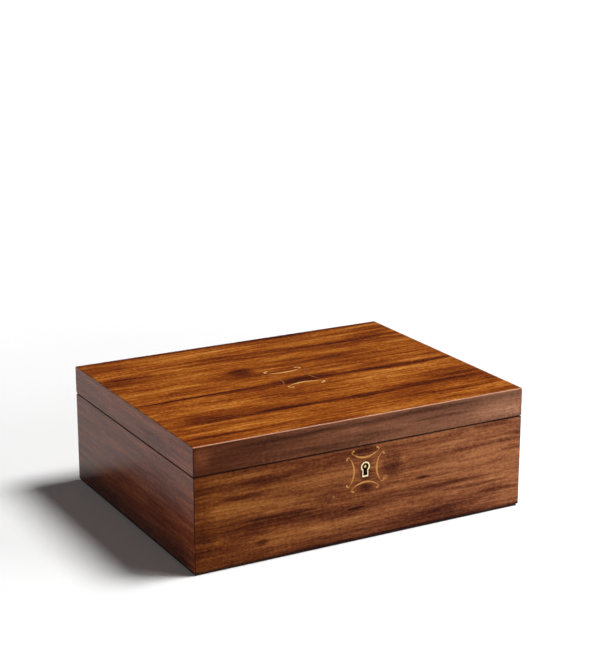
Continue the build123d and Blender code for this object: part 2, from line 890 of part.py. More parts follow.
with BuildPart() as cylinder_arbor:
    ends = (cylinder_wheel_x[0] - cylinder_arbor_end, end_wheel_span[1] + cylinder_arbor_end)
    rod_along_x(ends, arbor_y, axis_height, cylinder_arbor_radius)
    first_tooth = -90 + 180 / cylinder_wheel_teeth
    tooth_shape = (train_tooth, train_tooth_rise, train_tooth_fall)
    cylinder_wheel = gear_points(cylinder_wheel_teeth, train_module, first_tooth, *tooth_shape)
    wheel_along_x(cylinder_wheel_x, arbor_y, axis_height, cylinder_wheel)
    governor_teeth = (governor_tooth, governor_tooth_rise, governor_tooth_fall)
    end_wheel = gear_points(end_wheel_teeth, governor_module, 0, *governor_teeth)
    wheel_along_x(end_wheel_span, arbor_y, axis_height, end_wheel)
save(cylinder_arbor, "cylinder_arbor")

with BuildPart() as music_cylinder:
    rod_along_x((drum_x, drum_end), arbor_y, axis_height, drum_radius)
    for track in range(comb_teeth):
        x = comb_mid_x + (track - (comb_teeth - 1) / 2) * comb_pitch
        for beat in range(pins_per_track):
            scatter = (track * beat * pin_scatter) % pin_scatter_limit
            angle = (track * pin_track_turn + beat * 360 / pins_per_track + scatter) % 360
            y, z = polar(drum_radius + (drum_pin_height - drum_pin_sunk) / 2, angle)
            with Locations(Location((x, arbor_y + y, axis_height + z), (angle - 90, 0, 0))):
                Cylinder(drum_pin_radius, drum_pin_height + drum_pin_sunk)
    rod_along_x((drum_x, drum_end), arbor_y, axis_height, cylinder_arbor_radius, mode=Mode.SUBTRACT)
save(music_cylinder, "music_cylinder")

bracket_z = (bedplate_top, axis_height + bracket_top)
with BuildPart() as cylinder_brackets:
    half = bracket_half_width
    block((left_bracket_x, left_bracket_x + bracket_thickness), (arbor_y - half, arbor_y + half), bracket_z)
    right_bracket_y = (arbor_y - half, governor_y + half)
    block((right_bracket_x, right_bracket_x + bracket_thickness), right_bracket_y, bracket_z)
    bore_x = (left_bracket_x, right_bracket_x + bracket_thickness)
    rod_along_x(bore_x, arbor_y, axis_height, cylinder_arbor_radius + running, mode=Mode.SUBTRACT)
    rod_along_x(bore_x, governor_y, axis_height, governor_arbor_radius + running, mode=Mode.SUBTRACT)
save(cylinder_brackets, "cylinder_brackets")

# Steel comb on its block
with BuildPart() as comb_base:
    comb_x = (comb_mid_x - comb_half, comb_mid_x + comb_half)
    block(comb_x, (comb_back_y, comb_back_y + comb_seat), (bedplate_top, comb_bottom))
    add(movement_screw_blanks.part, mode=Mode.SUBTRACT)
save(comb_base, "comb_base")

with BuildPart() as music_comb:
    block(comb_x, (comb_back_y, comb_tip_y), (comb_bottom, comb_top))
    for slot in range(1, comb_teeth):
        share = slot / comb_teeth
        length = comb_longest_tooth + (comb_shortest_tooth - comb_longest_tooth) * share
        block(
            around(comb_mid_x - comb_half + slot * comb_pitch, comb_slot),
            (comb_tip_y - length, comb_tip_y),
            (comb_bottom, comb_top),
            mode=Mode.SUBTRACT,
        )
    add(movement_screw_blanks.part, mode=Mode.SUBTRACT)
save(music_comb, "music_comb")

# Governor: an arbor with pinion and worm wheel, its bracket, and the worm with the fan
with BuildPart() as governor_arbor:
    governor_x = (right_bracket_x - pivot_end, governor_plate_x + bracket_thickness)
    rod_along_x(governor_x, governor_y, axis_height, governor_arbor_radius)
    pinion = gear_points(pinion_teeth, governor_module, 180 + 180 / pinion_teeth, *governor_teeth)
    wheel_along_x(end_wheel_span, governor_y, axis_height, pinion)
    worm_wheel_shape = (worm_wheel_tooth, worm_wheel_rise, worm_wheel_fall)
    worm_wheel = gear_points(worm_wheel_teeth, worm_module, 0, *worm_wheel_shape)
    wheel_along_x((worm_wheel_x, worm_wheel_x + worm_wheel_width), governor_y, axis_height, worm_wheel)
save(governor_arbor, "governor_arbor")

arm_x = (worm_x - governor_arm_end, governor_plate_x + bracket_thickness)
arm_y = around(worm_y, governor_arm_width)
with BuildPart() as governor_bracket:
    block(
        (governor_plate_x, governor_plate_x + bracket_thickness),
        (governor_y - bracket_half_width, arm_y[1]),
        (bedplate_top, upper_arm_bottom + governor_arm),
    )
    for low in (lower_arm_bottom, upper_arm_bottom):
        block(arm_x, arm_y, (low, low + governor_arm))
        post(worm_x, worm_y, (low, low + governor_arm), governor_arbor_radius + running, mode=Mode.SUBTRACT)
    rod_along_x(
        (governor_plate_x, governor_plate_x + bracket_thickness),
        governor_y,
        axis_height,
        governor_arbor_radius + running,
        mode=Mode.SUBTRACT,
    )
save(governor_bracket, "governor_bracket")

worm_length = worm_turns * worm_pitch
worm_start = axis_height - worm_length / 2
with BuildPart() as air_fan:
    with BuildLine():
        Helix(worm_pitch, worm_length, worm_radius, center=(worm_x, worm_y, worm_start))
    with BuildSketch(Plane.XZ.offset(-worm_y)):
        with Locations((worm_x, worm_start)):
            Polygon(
                (worm_core_radius - worm_thread_sunk, -worm_thread_root / 2),
                (worm_radius + worm_thread_rise, -worm_thread_crest / 2),
                (worm_radius + worm_thread_rise, worm_thread_crest / 2),
                (worm_core_radius - worm_thread_sunk, worm_thread_root / 2),
                align=None,
            )
    sweep(is_frenet=True)
    core_z = (worm_start - worm_core_end, worm_start + worm_length + worm_core_end)
    post(worm_x, worm_y, core_z, worm_core_radius)
    post(worm_x, worm_y, (lower_arm_bottom + pivot_end, fan_top), governor_arbor_radius)
    post(worm_x, worm_y, (fan_bottom, fan_top), fan_hub_radius)
    block(around(worm_x, 2 * fan_radius), around(worm_y, fan_blade), (fan_bottom + fan_blade_gap, fan_top))
save(air_fan, "air_fan")

# Stop plunger: pressed down by the lid, its arm brakes the fan
with BuildPart() as stop_plunger:
    post(plunger_x, plunger_y, (floor_top + plunger_foot, plunger_top), plunger_radius)
    post(plunger_x, plunger_y, (plunger_top - plunger_button_height, plunger_top), plunger_button_radius)
    arm_z = (stop_arm_bottom, stop_arm_bottom + stop_arm_thickness)
    block(around(plunger_x, stop_arm_width), (worm_y, plunger_y), arm_z)
    post(worm_x, worm_y, arm_z, stop_pad_radius)
save(stop_plunger, "stop_plunger")

with BuildPart() as stop_guide_post:
    post_top = floor_top + guide_post_height
    block(around(plunger_x, guide_post_width), around(plunger_y, guide_post_width), (floor_top, post_top))
    bore_z = (floor_top + plunger_foot - plunger_clear, post_top)
    post(plunger_x, plunger_y, bore_z, plunger_radius + running, mode=Mode.SUBTRACT)
save(stop_guide_post, "stop_guide_post")

# Lock: case with selvedge, cover plate, bolt, drill pin and detent spring
with BuildPart() as lock_case:
    block((-lock_half, lock_half), (lock_front, lock_back), (lock_bottom, selvedge_bottom))
    inner_half = lock_half - lock_shell
    inner_y = (lock_front + lock_shell, lock_back)
    block((-inner_half, inner_half), inner_y, (lock_bottom + lock_shell, selvedge_bottom), mode=Mode.SUBTRACT)
    block((-lock_plate_half, lock_plate_half), (selvedge_front, front_inside), (selvedge_bottom, case_top))
    for x in staple_centres:
        block(
            around(x, staple_thickness + 2 * staple_slot_play),
            around(lock_middle_y, staple_depth + 2 * staple_slot_play),
            (selvedge_bottom, case_top),
            mode=Mode.SUBTRACT,
        )
    add(keyhole_cutter.part, mode=Mode.SUBTRACT)
    add(case_screw_blanks.part, mode=Mode.SUBTRACT)
save(lock_case, "lock_case")

with BuildPart() as lock_cover_plate:
    plate_z = (lock_plate_bottom, selvedge_bottom)
    block((-lock_plate_half, lock_plate_half), (lock_back, front_inside), plate_z)
    add(case_screw_blanks.part, mode=Mode.SUBTRACT)
save(lock_cover_plate, "lock_cover_plate")

with BuildPart() as lock_drill_pin:
    rod_along_y(0, (front_face + drill_pin_setback, lock_back), keyhole_height, drill_pin_radius)
save(lock_drill_pin, "lock_drill_pin")

bar_top = bolt_bar_bottom + bolt_bar_height
bar_y = (lock_front + lock_shell + bolt_play, lock_front + lock_shell + bolt_play + bolt_bar_depth)
tongue_y = around(lock_middle_y, tongue_depth)
tongue_z = (tongue_bottom, tongue_bottom + tongue_height)
post_reach = staple_thickness / 2 + bolt_play + bolt_travel + post_width
with BuildPart() as lock_bolt:
    block((staple_centres[0] - post_reach, bolt_end), bar_y, (bolt_bar_bottom, bar_top))
    for side in (-1, 1):
        middle = side * (talon_notch + talon_width) / 2
        block(around(middle, talon_width), bar_y, (bolt_bar_bottom - talon_depth, bolt_bar_bottom))
    for x in staple_centres:
        left = x - post_reach
        block((left, left + post_width), tongue_y, (bar_top, tongue_z[1]))
        block((left, x - staple_thickness / 2 - tongue_rest_gap), tongue_y, tongue_z)
save(lock_bolt, "lock_bolt")

with BuildPart() as lock_detent_spring:
    stud_x = staple_centres[0] + staple_thickness / 2 + detent_length / 2 - detent_lead
    strip_z = (bar_top + bolt_play, bar_top + bolt_play + detent_strip)
    stud_z = strip_z[1] + 2 * detent_stud_radius
    strip_x = around(stud_x, detent_length)
    rod_along_y(stud_x, (lock_front + lock_shell, bar_y[1]), stud_z, detent_stud_radius)
    block(around(stud_x, detent_strip), (bar_y[0] + detent_inset, bar_y[1]), (strip_z[0], stud_z))
    block(strip_x, (bar_y[0] + detent_inset, bar_y[1]), strip_z)
save(lock_detent_spring, "lock_detent_spring")

with BuildPart() as lock_strike_plate:
    strike_z = (lid_bottom, lid_bottom + lock_plate_thickness)
    block((-lock_plate_half, lock_plate_half), (selvedge_front, front_inside), strike_z)
    for x in staple_centres:
        block(around(x, staple_thickness), around(lock_middle_y, staple_depth), (staple_bottom, lid_bottom))
        block(
            around(x, staple_thickness),
            around(lock_middle_y, tongue_depth + 2 * staple_window_play),
            (tongue_z[0] - 2 * staple_window_play, tongue_z[1] + 2 * staple_window_play),
            mode=Mode.SUBTRACT,
        )
    add(lid_screw_blanks.part, mode=Mode.SUBTRACT)
save(lock_strike_plate, "lock_strike_plate")

# Lid rails, mitred like the walls
with BuildPart() as lid_front_rail:
    mitred_wall(FRONT, lid_bottom, lid_top)
    ease_seam_arris(lid_front_rail, Axis.X, 0, 0)
    block((-lock_plate_half, lock_plate_half), (selvedge_front, front_inside), strike_z, mode=Mode.SUBTRACT)
    add(lid_screw_blanks.part, mode=Mode.SUBTRACT)
save(lid_front_rail, "lid_front_rail")

with BuildPart() as lid_back_rail:
    mitred_wall(BACK, lid_bottom, lid_top)
    hinge_bevel(lid_bottom, 1)
    barrel_pockets()
    leaf_z = (lid_bottom, lid_bottom + leaf_thickness)
    for x in hinge_centres:
        block(around(x, hinge_length), (leaf_inner, hinge_y), leaf_z, mode=Mode.SUBTRACT)
    add(lid_screw_blanks.part, mode=Mode.SUBTRACT)
save(lid_back_rail, "lid_back_rail")

with BuildPart() as lid_left_rail:
    mitred_wall(LEFT, lid_bottom, lid_top)
    ease_seam_arris(lid_left_rail, Axis.Y, 0, 0)
    hinge_bevel(lid_bottom, 1)
save(lid_left_rail, "lid_left_rail")

with BuildPart() as lid_right_rail:
    mitred_wall(RIGHT, lid_bottom, lid_top)
    ease_seam_arris(lid_right_rail, Axis.Y, 0, -1)
    hinge_bevel(lid_bottom, 1)
save(lid_right_rail, "lid_right_rail")

with BuildPart() as lid_top_board:
    wall_x = half_width - wall
    wall_y = half_depth - wall
    block((-wall_x, wall_x), (-wall_y, wall_y), (top_board_bottom, lid_top))
save(lid_top_board, "lid_top_board")

with BuildPart() as lid_top_veneer:
    block((-half_width, half_width), (-half_depth, half_depth), (lid_top, height))
    fillet(lid_top_veneer.edges().group_by(Axis.Z)[-1], veneer_round)
    add(lid_scroll_inlay.part, mode=Mode.SUBTRACT)
save(lid_top_veneer, "lid_top_veneer")

# Inside of the lid: padded board, framed mirror and the block over the plunger
with BuildPart() as lid_lining_panel:
    panel_x = wall_x - lid_lining_gap
    panel_y = wall_y - lid_lining_gap
    block((-panel_x, panel_x), (-panel_y, panel_y), (lid_lining_bottom, top_board_bottom))
save(lid_lining_panel, "lid_lining_panel")

with BuildPart() as lid_mirror:
    with Locations((0, 0, lid_lining_bottom - mirror_thickness / 2)):
        Box(mirror_width, mirror_depth, mirror_thickness)
save(lid_mirror, "lid_mirror")

with BuildPart() as mirror_frame:
    frame_side = 2 * (mirror_frame_width - mirror_frame_lip)
    frame_z = lid_lining_bottom - mirror_frame_thickness / 2
    with Locations((0, 0, frame_z)):
        Box(mirror_width + frame_side, mirror_depth + frame_side, mirror_frame_thickness)
    chamfer(mirror_frame.edges().group_by(Axis.Z)[0], arris)
    with Locations((0, 0, frame_z)):
        lip = 2 * mirror_frame_lip
        Box(mirror_width - lip, mirror_depth - lip, mirror_frame_thickness, mode=Mode.SUBTRACT)
    with Locations((0, 0, lid_lining_bottom - mirror_thickness / 2)):
        Box(mirror_width, mirror_depth, mirror_thickness, mode=Mode.SUBTRACT)
save(mirror_frame, "mirror_frame")

with BuildPart() as stop_block:
    block_z = (stop_block_bottom, lid_lining_bottom)
    block(around(plunger_x, stop_block_width), around(plunger_y, stop_block_width), block_z)
save(stop_block, "stop_block")

# Lining of the case, with a window round the lock
with BuildPart() as case_wall_lining:
    lining_z = (floor_top, case_top - lining_drop)
    block((-wall_x, wall_x), (-wall_y, -room_y), lining_z)
    block((-wall_x, wall_x), (room_y, wall_y), lining_z)
    block((-wall_x, -room_x), (-room_y, room_y), lining_z)
    block((room_x, wall_x), (-room_y, room_y), lining_z)
    window_x = (-lock_plate_half - lining_window, lock_plate_half + lining_window)
    block(window_x, (-wall_y, -room_y), (lock_plate_bottom - lining_window, case_top), mode=Mode.SUBTRACT)
save(case_wall_lining, "case_wall_lining")

with BuildPart() as long_partition:
    block((-room_x, room_x), (partition_front, partition_back), (floor_top, partition_top))
save(long_partition, "long_partition")

with BuildPart() as cross_partition:
    block((bay_left - partition_thickness, bay_left), (partition_back, room_y), (floor_top, partition_top))
save(cross_partition, "cross_partition")

# Ledges that carry the tray and the glazed cover
with BuildPart() as ledge_strips:
    for side in (-1, 1):
        ends = sorted((side * room_x, side * (room_x - ledge_width)))
        block(ends, (-room_y, partition_front), (tray_bottom - ledge_height, tray_bottom))
    cover_ledge_z = (cover_bottom - ledge_height, cover_bottom)
    for x in (bay_left, room_x - ledge_width):
        block((x, x + ledge_width), (partition_back, room_y), cover_ledge_z)
save(ledge_strips, "ledge_strips")


def soft_pad(x, y, z):
    """A flat pad with rounded corners and a softened upper edge."""
    with BuildPart(mode=Mode.PRIVATE) as pad:
        block(x, y, z)
        fillet(pad.edges().filter_by(Axis.Z), pad_corner)
        fillet(pad.edges().group_by(Axis.Z)[-1], (z[1] - z[0]) * pad_softness)
    return pad.part


with BuildPart() as floor_pads:
    pad_z = (floor_top, floor_top + floor_pad_thickness)
    pad_x = room_x - pad_gap
    add(soft_pad((-pad_x, pad_x), (-room_y + pad_gap, partition_front - pad_gap), pad_z))
    rear_pad_x = (-pad_x, bay_left - partition_thickness - pad_gap)
    add(soft_pad(rear_pad_x, (partition_back + pad_gap, room_y - pad_gap), pad_z))
save(floor_pads, "floor_pads")

# Lift-out tray
with BuildPart() as tray_base:
    block((-tray_x, tray_x), (tray_front, tray_back), (tray_bottom, tray_floor))
save(tray_base, "tray_base")

with BuildPart() as tray_rim:
    block((-tray_x, tray_x), (tray_front, tray_back), (tray_floor, tray_top))
    fillet(tray_rim.edges().group_by(Axis.Z)[-1], arris)
    rim_z = (tray_floor, tray_top)
    block((-tray_inner_x, tray_inner_x), (tray_inner_front, tray_inner_back), rim_z, mode=Mode.SUBTRACT)
save(tray_rim, "tray_rim")

divider_z = (tray_floor, tray_top - tray_divider_drop)
with BuildPart() as tray_dividers:
    for side in (-1, 1):
        block(around(side * divider_x, tray_divider), (tray_inner_front, tray_inner_back), divider_z)
        ends = sorted((side * (divider_x + tray_divider / 2), side * tray_inner_x))
        block(ends, around(tray_middle_y, tray_divider), divider_z)
save(tray_dividers, "tray_dividers")

roll_pitch = ring_roll_width + ring_roll_gap
roll_room = tray_inner_back - tray_inner_front - 2 * pad_gap
ring_rolls_count = int((roll_room + ring_roll_gap) / roll_pitch)
first_roll = tray_middle_y - (ring_rolls_count - 1) * roll_pitch / 2
roll_half_length = ring_bay_width / 2 - pad_gap
roll_shoulder = tray_floor + ring_roll_height - ring_roll_width / 2
with BuildPart() as ring_rolls:
    for roll in range(ring_rolls_count):
        y = first_roll + roll * roll_pitch
        block((-roll_half_length, roll_half_length), around(y, ring_roll_width), (tray_floor, roll_shoulder))
        rod_along_x((-roll_half_length, roll_half_length), y, roll_shoulder, ring_roll_width / 2)
save(ring_rolls, "ring_rolls")

with BuildPart() as tray_pads:
    tray_pad_z = (tray_floor, tray_floor + tray_pad_thickness)
    side_x = (divider_x + tray_divider / 2 + pad_gap, tray_inner_x - pad_gap)
    half_gap = tray_divider / 2 + pad_gap
    for side in (-1, 1):
        ends = sorted((side * side_x[0], side * side_x[1]))
        add(soft_pad(ends, (tray_inner_front + pad_gap, tray_middle_y - half_gap), tray_pad_z))
        add(soft_pad(ends, (tray_middle_y + half_gap, tray_inner_back - pad_gap), tray_pad_z))
save(tray_pads, "tray_pads")

with BuildPart() as tray_pull_tabs:
    for side in (-1, 1):
        ends = sorted((side * tray_inner_x, side * (tray_inner_x - tab_thickness)))
        tab_z = (tray_top - tab_drop, tray_top + tab_rise)
        block(ends, around(tray_middle_y + tab_from_middle, tab_width), tab_z)
save(tray_pull_tabs, "tray_pull_tabs")

# Glazed cover over the movement
with BuildPart() as movement_cover_frame:
    cover_x = (bay_left + cover_gap, room_x - cover_gap)
    cover_y = (partition_back + cover_gap, room_y - cover_gap)
    block(cover_x, cover_y, (cover_bottom, partition_top))
    open_x = (cover_x[0] + cover_border, cover_x[1] - cover_border)
    open_y = (cover_y[0] + cover_border, cover_y[1] - cover_border)
    block(open_x, open_y, (cover_bottom, partition_top), mode=Mode.SUBTRACT)
    glass_x = (open_x[0] - glass_rebate, open_x[1] + glass_rebate)
    glass_y = (open_y[0] - glass_rebate, open_y[1] + glass_rebate)
    glass_z = (cover_bottom, cover_bottom + glass_thickness)
    block(glass_x, glass_y, glass_z, mode=Mode.SUBTRACT)
    bore_z = (cover_bottom, partition_top)
    post(plunger_x, plunger_y, bore_z, plunger_radius + 2 * running, mode=Mode.SUBTRACT)
save(movement_cover_frame, "movement_cover_frame")

with BuildPart() as movement_cover_glass:
    block(glass_x, glass_y, glass_z)
    notch_x = around(plunger_x, 2 * plunger_button_radius)
    block(notch_x, (plunger_y - plunger_button_radius, glass_y[1]), glass_z, mode=Mode.SUBTRACT)
save(movement_cover_glass, "movement_cover_glass")

print(len(part_log), "pieces, hinge axis at", round(hinge_y, 3), round(seam, 3))
print("train axis", round(arbor_x, 3), round(arbor_y, 3), round(axis_height, 3))
print("governor", round(governor_y, 3), "worm", round(worm_x, 3), round(worm_y, 3))
print("plunger", round(plunger_x, 3), round(plunger_y, 3), "ring rolls", ring_rolls_count)
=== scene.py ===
import math
import random

import bmesh
import bpy
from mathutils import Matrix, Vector


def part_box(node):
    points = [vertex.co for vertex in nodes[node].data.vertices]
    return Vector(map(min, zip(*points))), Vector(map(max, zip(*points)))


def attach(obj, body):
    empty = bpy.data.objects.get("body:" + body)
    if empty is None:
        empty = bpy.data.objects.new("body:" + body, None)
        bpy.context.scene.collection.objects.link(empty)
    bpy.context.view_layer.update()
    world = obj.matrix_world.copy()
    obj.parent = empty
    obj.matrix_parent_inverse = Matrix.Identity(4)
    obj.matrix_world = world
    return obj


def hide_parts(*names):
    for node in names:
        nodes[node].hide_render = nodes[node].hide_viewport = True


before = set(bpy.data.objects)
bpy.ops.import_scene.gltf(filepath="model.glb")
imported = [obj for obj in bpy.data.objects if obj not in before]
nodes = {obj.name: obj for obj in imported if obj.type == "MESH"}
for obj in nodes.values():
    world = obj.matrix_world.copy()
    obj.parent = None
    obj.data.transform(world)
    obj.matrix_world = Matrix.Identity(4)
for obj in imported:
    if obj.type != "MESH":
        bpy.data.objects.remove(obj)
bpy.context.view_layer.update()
random.seed(7)

MM = 0.001
HALF_LENGTH = 171

# Nearly all values of a noise texture lie between these
NOISE_LOW, NOISE_HIGH = 0.3, 0.7


# Colours and node trees


def rgb(red, green, blue):
    """A colour given as it looks on screen, from 0 to 255, as the linear values of a shader."""
    values = [channel / 255 for channel in (red, green, blue)]
    linear = [v / 12.92 if v <= 0.04045 else ((v + 0.055) / 1.055) ** 2.4 for v in values]
    return (*linear, 1.0)


class Wiring:
    """A node tree, built by short calls that return sockets."""

    def __init__(self, tree):
        self.tree = tree

    def feed(self, socket, value):
        """Link another socket to an input, or set the input to a plain value."""
        if isinstance(value, bpy.types.NodeSocket):
            self.tree.links.new(value, socket)
        else:
            socket.default_value = value

    def node(self, kind, inputs=(), **settings):
        made = self.tree.nodes.new(kind)
        for key, value in settings.items():
            setattr(made, key, value)
        for key, value in dict(inputs).items():
            self.feed(made.inputs[key], value)
        return made

    def math(self, operation, *values, clamp=False):
        wires = enumerate(values)
        return self.node("ShaderNodeMath", wires, operation=operation, use_clamp=clamp).outputs[0]

    def length(self, vector):
        return self.node("ShaderNodeVectorMath", {0: vector}, operation="LENGTH").outputs["Value"]

    def split(self, vector):
        """The three coordinates of a vector."""
        return self.node("ShaderNodeSeparateXYZ", {0: vector}).outputs

    def join(self, *coordinates):
        return self.node("ShaderNodeCombineXYZ", enumerate(coordinates)).outputs[0]

    def span(self, value, low, high, start=0.0, end=1.0, smooth=True):
        """A value from low to high, as a share that goes from start to end."""
        kind = "SMOOTHSTEP" if smooth else "LINEAR"
        wires = {"Value": value, "From Min": low, "From Max": high, "To Min": start, "To Max": end}
        return self.node("ShaderNodeMapRange", wires, interpolation_type=kind).outputs["Result"]


class Graph(Wiring):
    """A procedural material. Its sizes are in millimetres; sockets sets the shader's own inputs."""

    def __init__(self, name, colour, rough, sockets=()):
        self.material = bpy.data.materials.new(name)
        self.material.use_nodes = True
        self.material.diffuse_color = rgb(*colour)
        super().__init__(self.material.node_tree)
        self.shader = self.tree.nodes["Principled BSDF"].inputs
        self.colour(rgb(*colour))
        self.rough(rough)
        for key, value in dict(sockets).items():
            self.shader[key].default_value = value
        self.place = self.node("ShaderNodeTexCoord").outputs["Object"]

    def colour(self, value):
        self.feed(self.shader["Base Color"], value)

    def rough(self, value):
        self.feed(self.shader["Roughness"], value)

    def bump(self, height, depth, strength):
        """A bump whose full height is the given depth."""
        wires = {"Height": height, "Distance": depth * MM, "Strength": strength}
        self.feed(self.shader["Normal"], self.node("ShaderNodeBump", wires).outputs["Normal"])

    def stretch(self, size, vector=None, shift=(0, 0, 0), turn=(0, 0, 0)):
        """Coordinates in which a feature of the given size measures one, or none where it is 0."""
        scale = tuple(1 / (s * MM) if s else 0.0 for s in size)
        vector = vector or self.place
        wires = {"Vector": vector, "Scale": scale, "Location": shift, "Rotation": turn}
        return self.node("ShaderNodeMapping", wires, vector_type="POINT").outputs["Vector"]

    def noise(self, size, detail=2.0, rough=0.5, distortion=0.0, **place):
        """Noise whose features have the given size along X, Y and Z."""
        wires = {
            "Vector": self.stretch(size, **place),
            "Scale": 1.0,
            "Detail": detail,
            "Roughness": rough,
            "Distortion": distortion,
        }
        return self.node("ShaderNodeTexNoise", wires).outputs["Fac"]

    def share(self, noise):
        """Noise as a share from 0 to 1."""
        return self.span(noise, NOISE_LOW, NOISE_HIGH)

    def swing(self, noise):
        """Noise as a value that swings from -1 to 1."""
        return self.span(noise, NOISE_LOW, NOISE_HIGH, -1, 1, smooth=False)

    def ramp(self, value, stops):
        made = self.node("ShaderNodeValToRGB", {"Fac": value})
        points = made.color_ramp.elements
        while len(points) < len(stops):
            points.new(0.5)
        for point, (position, colour) in zip(points, stops):
            point.position = position
            point.color = rgb(*colour)
        return made.outputs["Color"]

    def mix(self, share, a, b):
        """Colour a, and the given share of colour b."""
        wires = {0: share, 6: a, 7: b}
        return self.node("ShaderNodeMix", wires, data_type="RGBA").outputs[2]


def paint(material, *names):
    """Give CAD nodes their material."""
    for name in names:
        data = nodes[name].data
        data.materials.clear()
        data.materials.append(material)


# Figured veneer

VENEER_ROUGH = 0.4
LACQUER_ROUGH = 0.13
LACQUER_IOR = 1.5
QUICK_STRAY = 0.14  # how far the quick waves move the grain, as a share of the slow ones
RIPPLE_TURN = 0.35  # radians between the ripples of the figure and the grain's normal
RIPPLE_DEPTH = 0.3
PORE_DEPTH = 0.14
PORE_SHARE = 0.35
PORE_COLOUR = rgb(48, 20, 9)
PATCH_CORE = 0.15  # share of a patch that has its full strength
EDGE_CORE = 0.3
# Colours of the painted shade lines and the painted highlights along arrises
EDGE_SHADE = rgb(30, 12, 12)
EDGE_HIGHLIGHT = rgb(226, 178, 148)


def veneer(name, along, across, tones, seed, *, figure, wander, length, contrast, coat=0.55,
           sheen_tones_right=None, streaks=(), lights=(), edges=()):
    """Lacquered veneer. along and across are the axes (0 to 2) of the grain and square to it.

    streaks and lights are soft dark and light patches: place along the grain, place across it,
    half length, half width and strength, in millimetres; some are painted shade and painted sheen.
    edges are arrises with painted shade lines (or painted highlights, where negative): axis, place,
    width and strength. figure is the strength of the ripples.
    wander is how far the grain strays, in millimetres, length makes its lines longer, and contrast
    sets how far they differ. From left to right, tones goes over into the tones for the right end,
    a painted sheen that makes that end lighter and greyer.
    """
    lacquer = {
        "Specular IOR Level": 0.0,
        "Coat Weight": coat,
        "Coat Roughness": LACQUER_ROUGH,
        "Coat IOR": LACQUER_IOR,
    }
    middle_tone = tones[len(tones) // 2][1]
    g = Graph(name, middle_tone, VENEER_ROUGH, lacquer)
    parts = g.split(g.place)
    flat = g.join(parts[along], parts[across], parts[3 - along - across])

    # The grain wanders: the coordinates across it are shifted by slow and by quick noise
    slow = g.noise((75, 24, 60), vector=flat, shift=(seed, 0.3 * seed, 0))
    quick = g.noise((17 * length, 8, 30), vector=flat, shift=(0, seed, 2))
    drift = g.math("MULTIPLY_ADD", slow, wander * MM, -0.5 * wander * MM)
    drift = g.math("ADD", drift, g.math("MULTIPLY", quick, QUICK_STRAY * wander * MM))
    push = g.join(0.0, drift, drift)
    grain = g.node("ShaderNodeVectorMath", {0: flat, 1: push}, operation="ADD").outputs[0]

    bands = g.noise((120, 9, 24), vector=grain, shift=(seed, seed, 0))
    lines = g.noise((48 * length, 3.2, 9), 3, 0.55, vector=grain, shift=(0, seed, seed))
    hair = g.noise((13 * length, 1.4, 4), 2, 0.6, vector=grain, shift=(seed, 1, 0))
    speckle = g.noise((3.6, 2.0, 3), 2, 0.6, vector=grain, shift=(1, seed, 2))
    pores = g.noise((4.6, 0.33, 1.2), 2, 0.6, vector=grain, shift=(1, seed, 0))
    ripple = g.noise((2.2, 7.5, 9), vector=flat, shift=(seed, 0, 3), turn=(0, 0, RIPPLE_TURN))
    where = g.span(g.noise((70, 26, 40), vector=flat, shift=(2, seed, 1)), 0.47, 0.66)
    clouds = g.noise((95, 30, 60), vector=flat, shift=(seed, 4, 0))

    tone = 0.5
    amounts = ((bands, 0.22), (lines, 0.20), (hair, 0.16), (speckle, 0.16), (clouds, 0.12))
    for noise, amount in amounts:
        tone = g.math("ADD", tone, g.math("MULTIPLY", g.swing(noise), amount * contrast))
    rippled = g.math("MULTIPLY", g.swing(ripple), where)
    tone = g.math("ADD", tone, g.math("MULTIPLY", rippled, figure * RIPPLE_DEPTH))
    flecks = g.span(pores, 0.56, 0.70)
    tone = g.math("SUBTRACT", tone, g.math("MULTIPLY", flecks, PORE_DEPTH))
    for places, operation in ((streaks, "SUBTRACT"), (lights, "ADD")):
        for u, v, half_u, half_v, strength in places:
            patch_shift = (-u / half_u, -v / half_v, 0)
            away = g.length(g.stretch((half_u, half_v, 0), grain, shift=patch_shift))
            patch = g.math("MULTIPLY", g.span(away, 1.0, PATCH_CORE), strength)
            tone = g.math(operation, tone, patch)

    wood = g.ramp(tone, tones)
    # Painted sheen: towards the right end the wood takes lighter, greyer tones
    if sheen_tones_right:
        rightward_sheen = g.span(parts[along], -HALF_LENGTH * MM, HALF_LENGTH * MM, smooth=False)
        wood = g.mix(rightward_sheen, wood, g.ramp(tone, sheen_tones_right))
    wood = g.mix(g.math("MULTIPLY", flecks, PORE_SHARE), wood, PORE_COLOUR)
    # Painted shade lines along arrises, or painted highlights where the strength is negative
    for axis, position, width, strength in edges:
        away = g.math("ABSOLUTE", g.math("SUBTRACT", parts[axis], position * MM))
        edge = g.span(away, width * MM, EDGE_CORE * width * MM, 0.0, abs(strength))
        wood = g.mix(edge, wood, EDGE_SHADE if strength > 0 else EDGE_HIGHLIGHT)
    g.colour(wood)
    rough_low, rough_high = VENEER_ROUGH - 0.05, VENEER_ROUGH + 0.07
    g.rough(g.span(lines, NOISE_LOW, NOISE_HIGH, rough_low, rough_high, smooth=False))
    relief = g.math("SUBTRACT", g.math("MULTIPLY", hair, 0.5), flecks)
    g.bump(relief, 0.05, 0.35)
    return g.material


# Tones of the woods, from dark to light: place on the ramp and colour

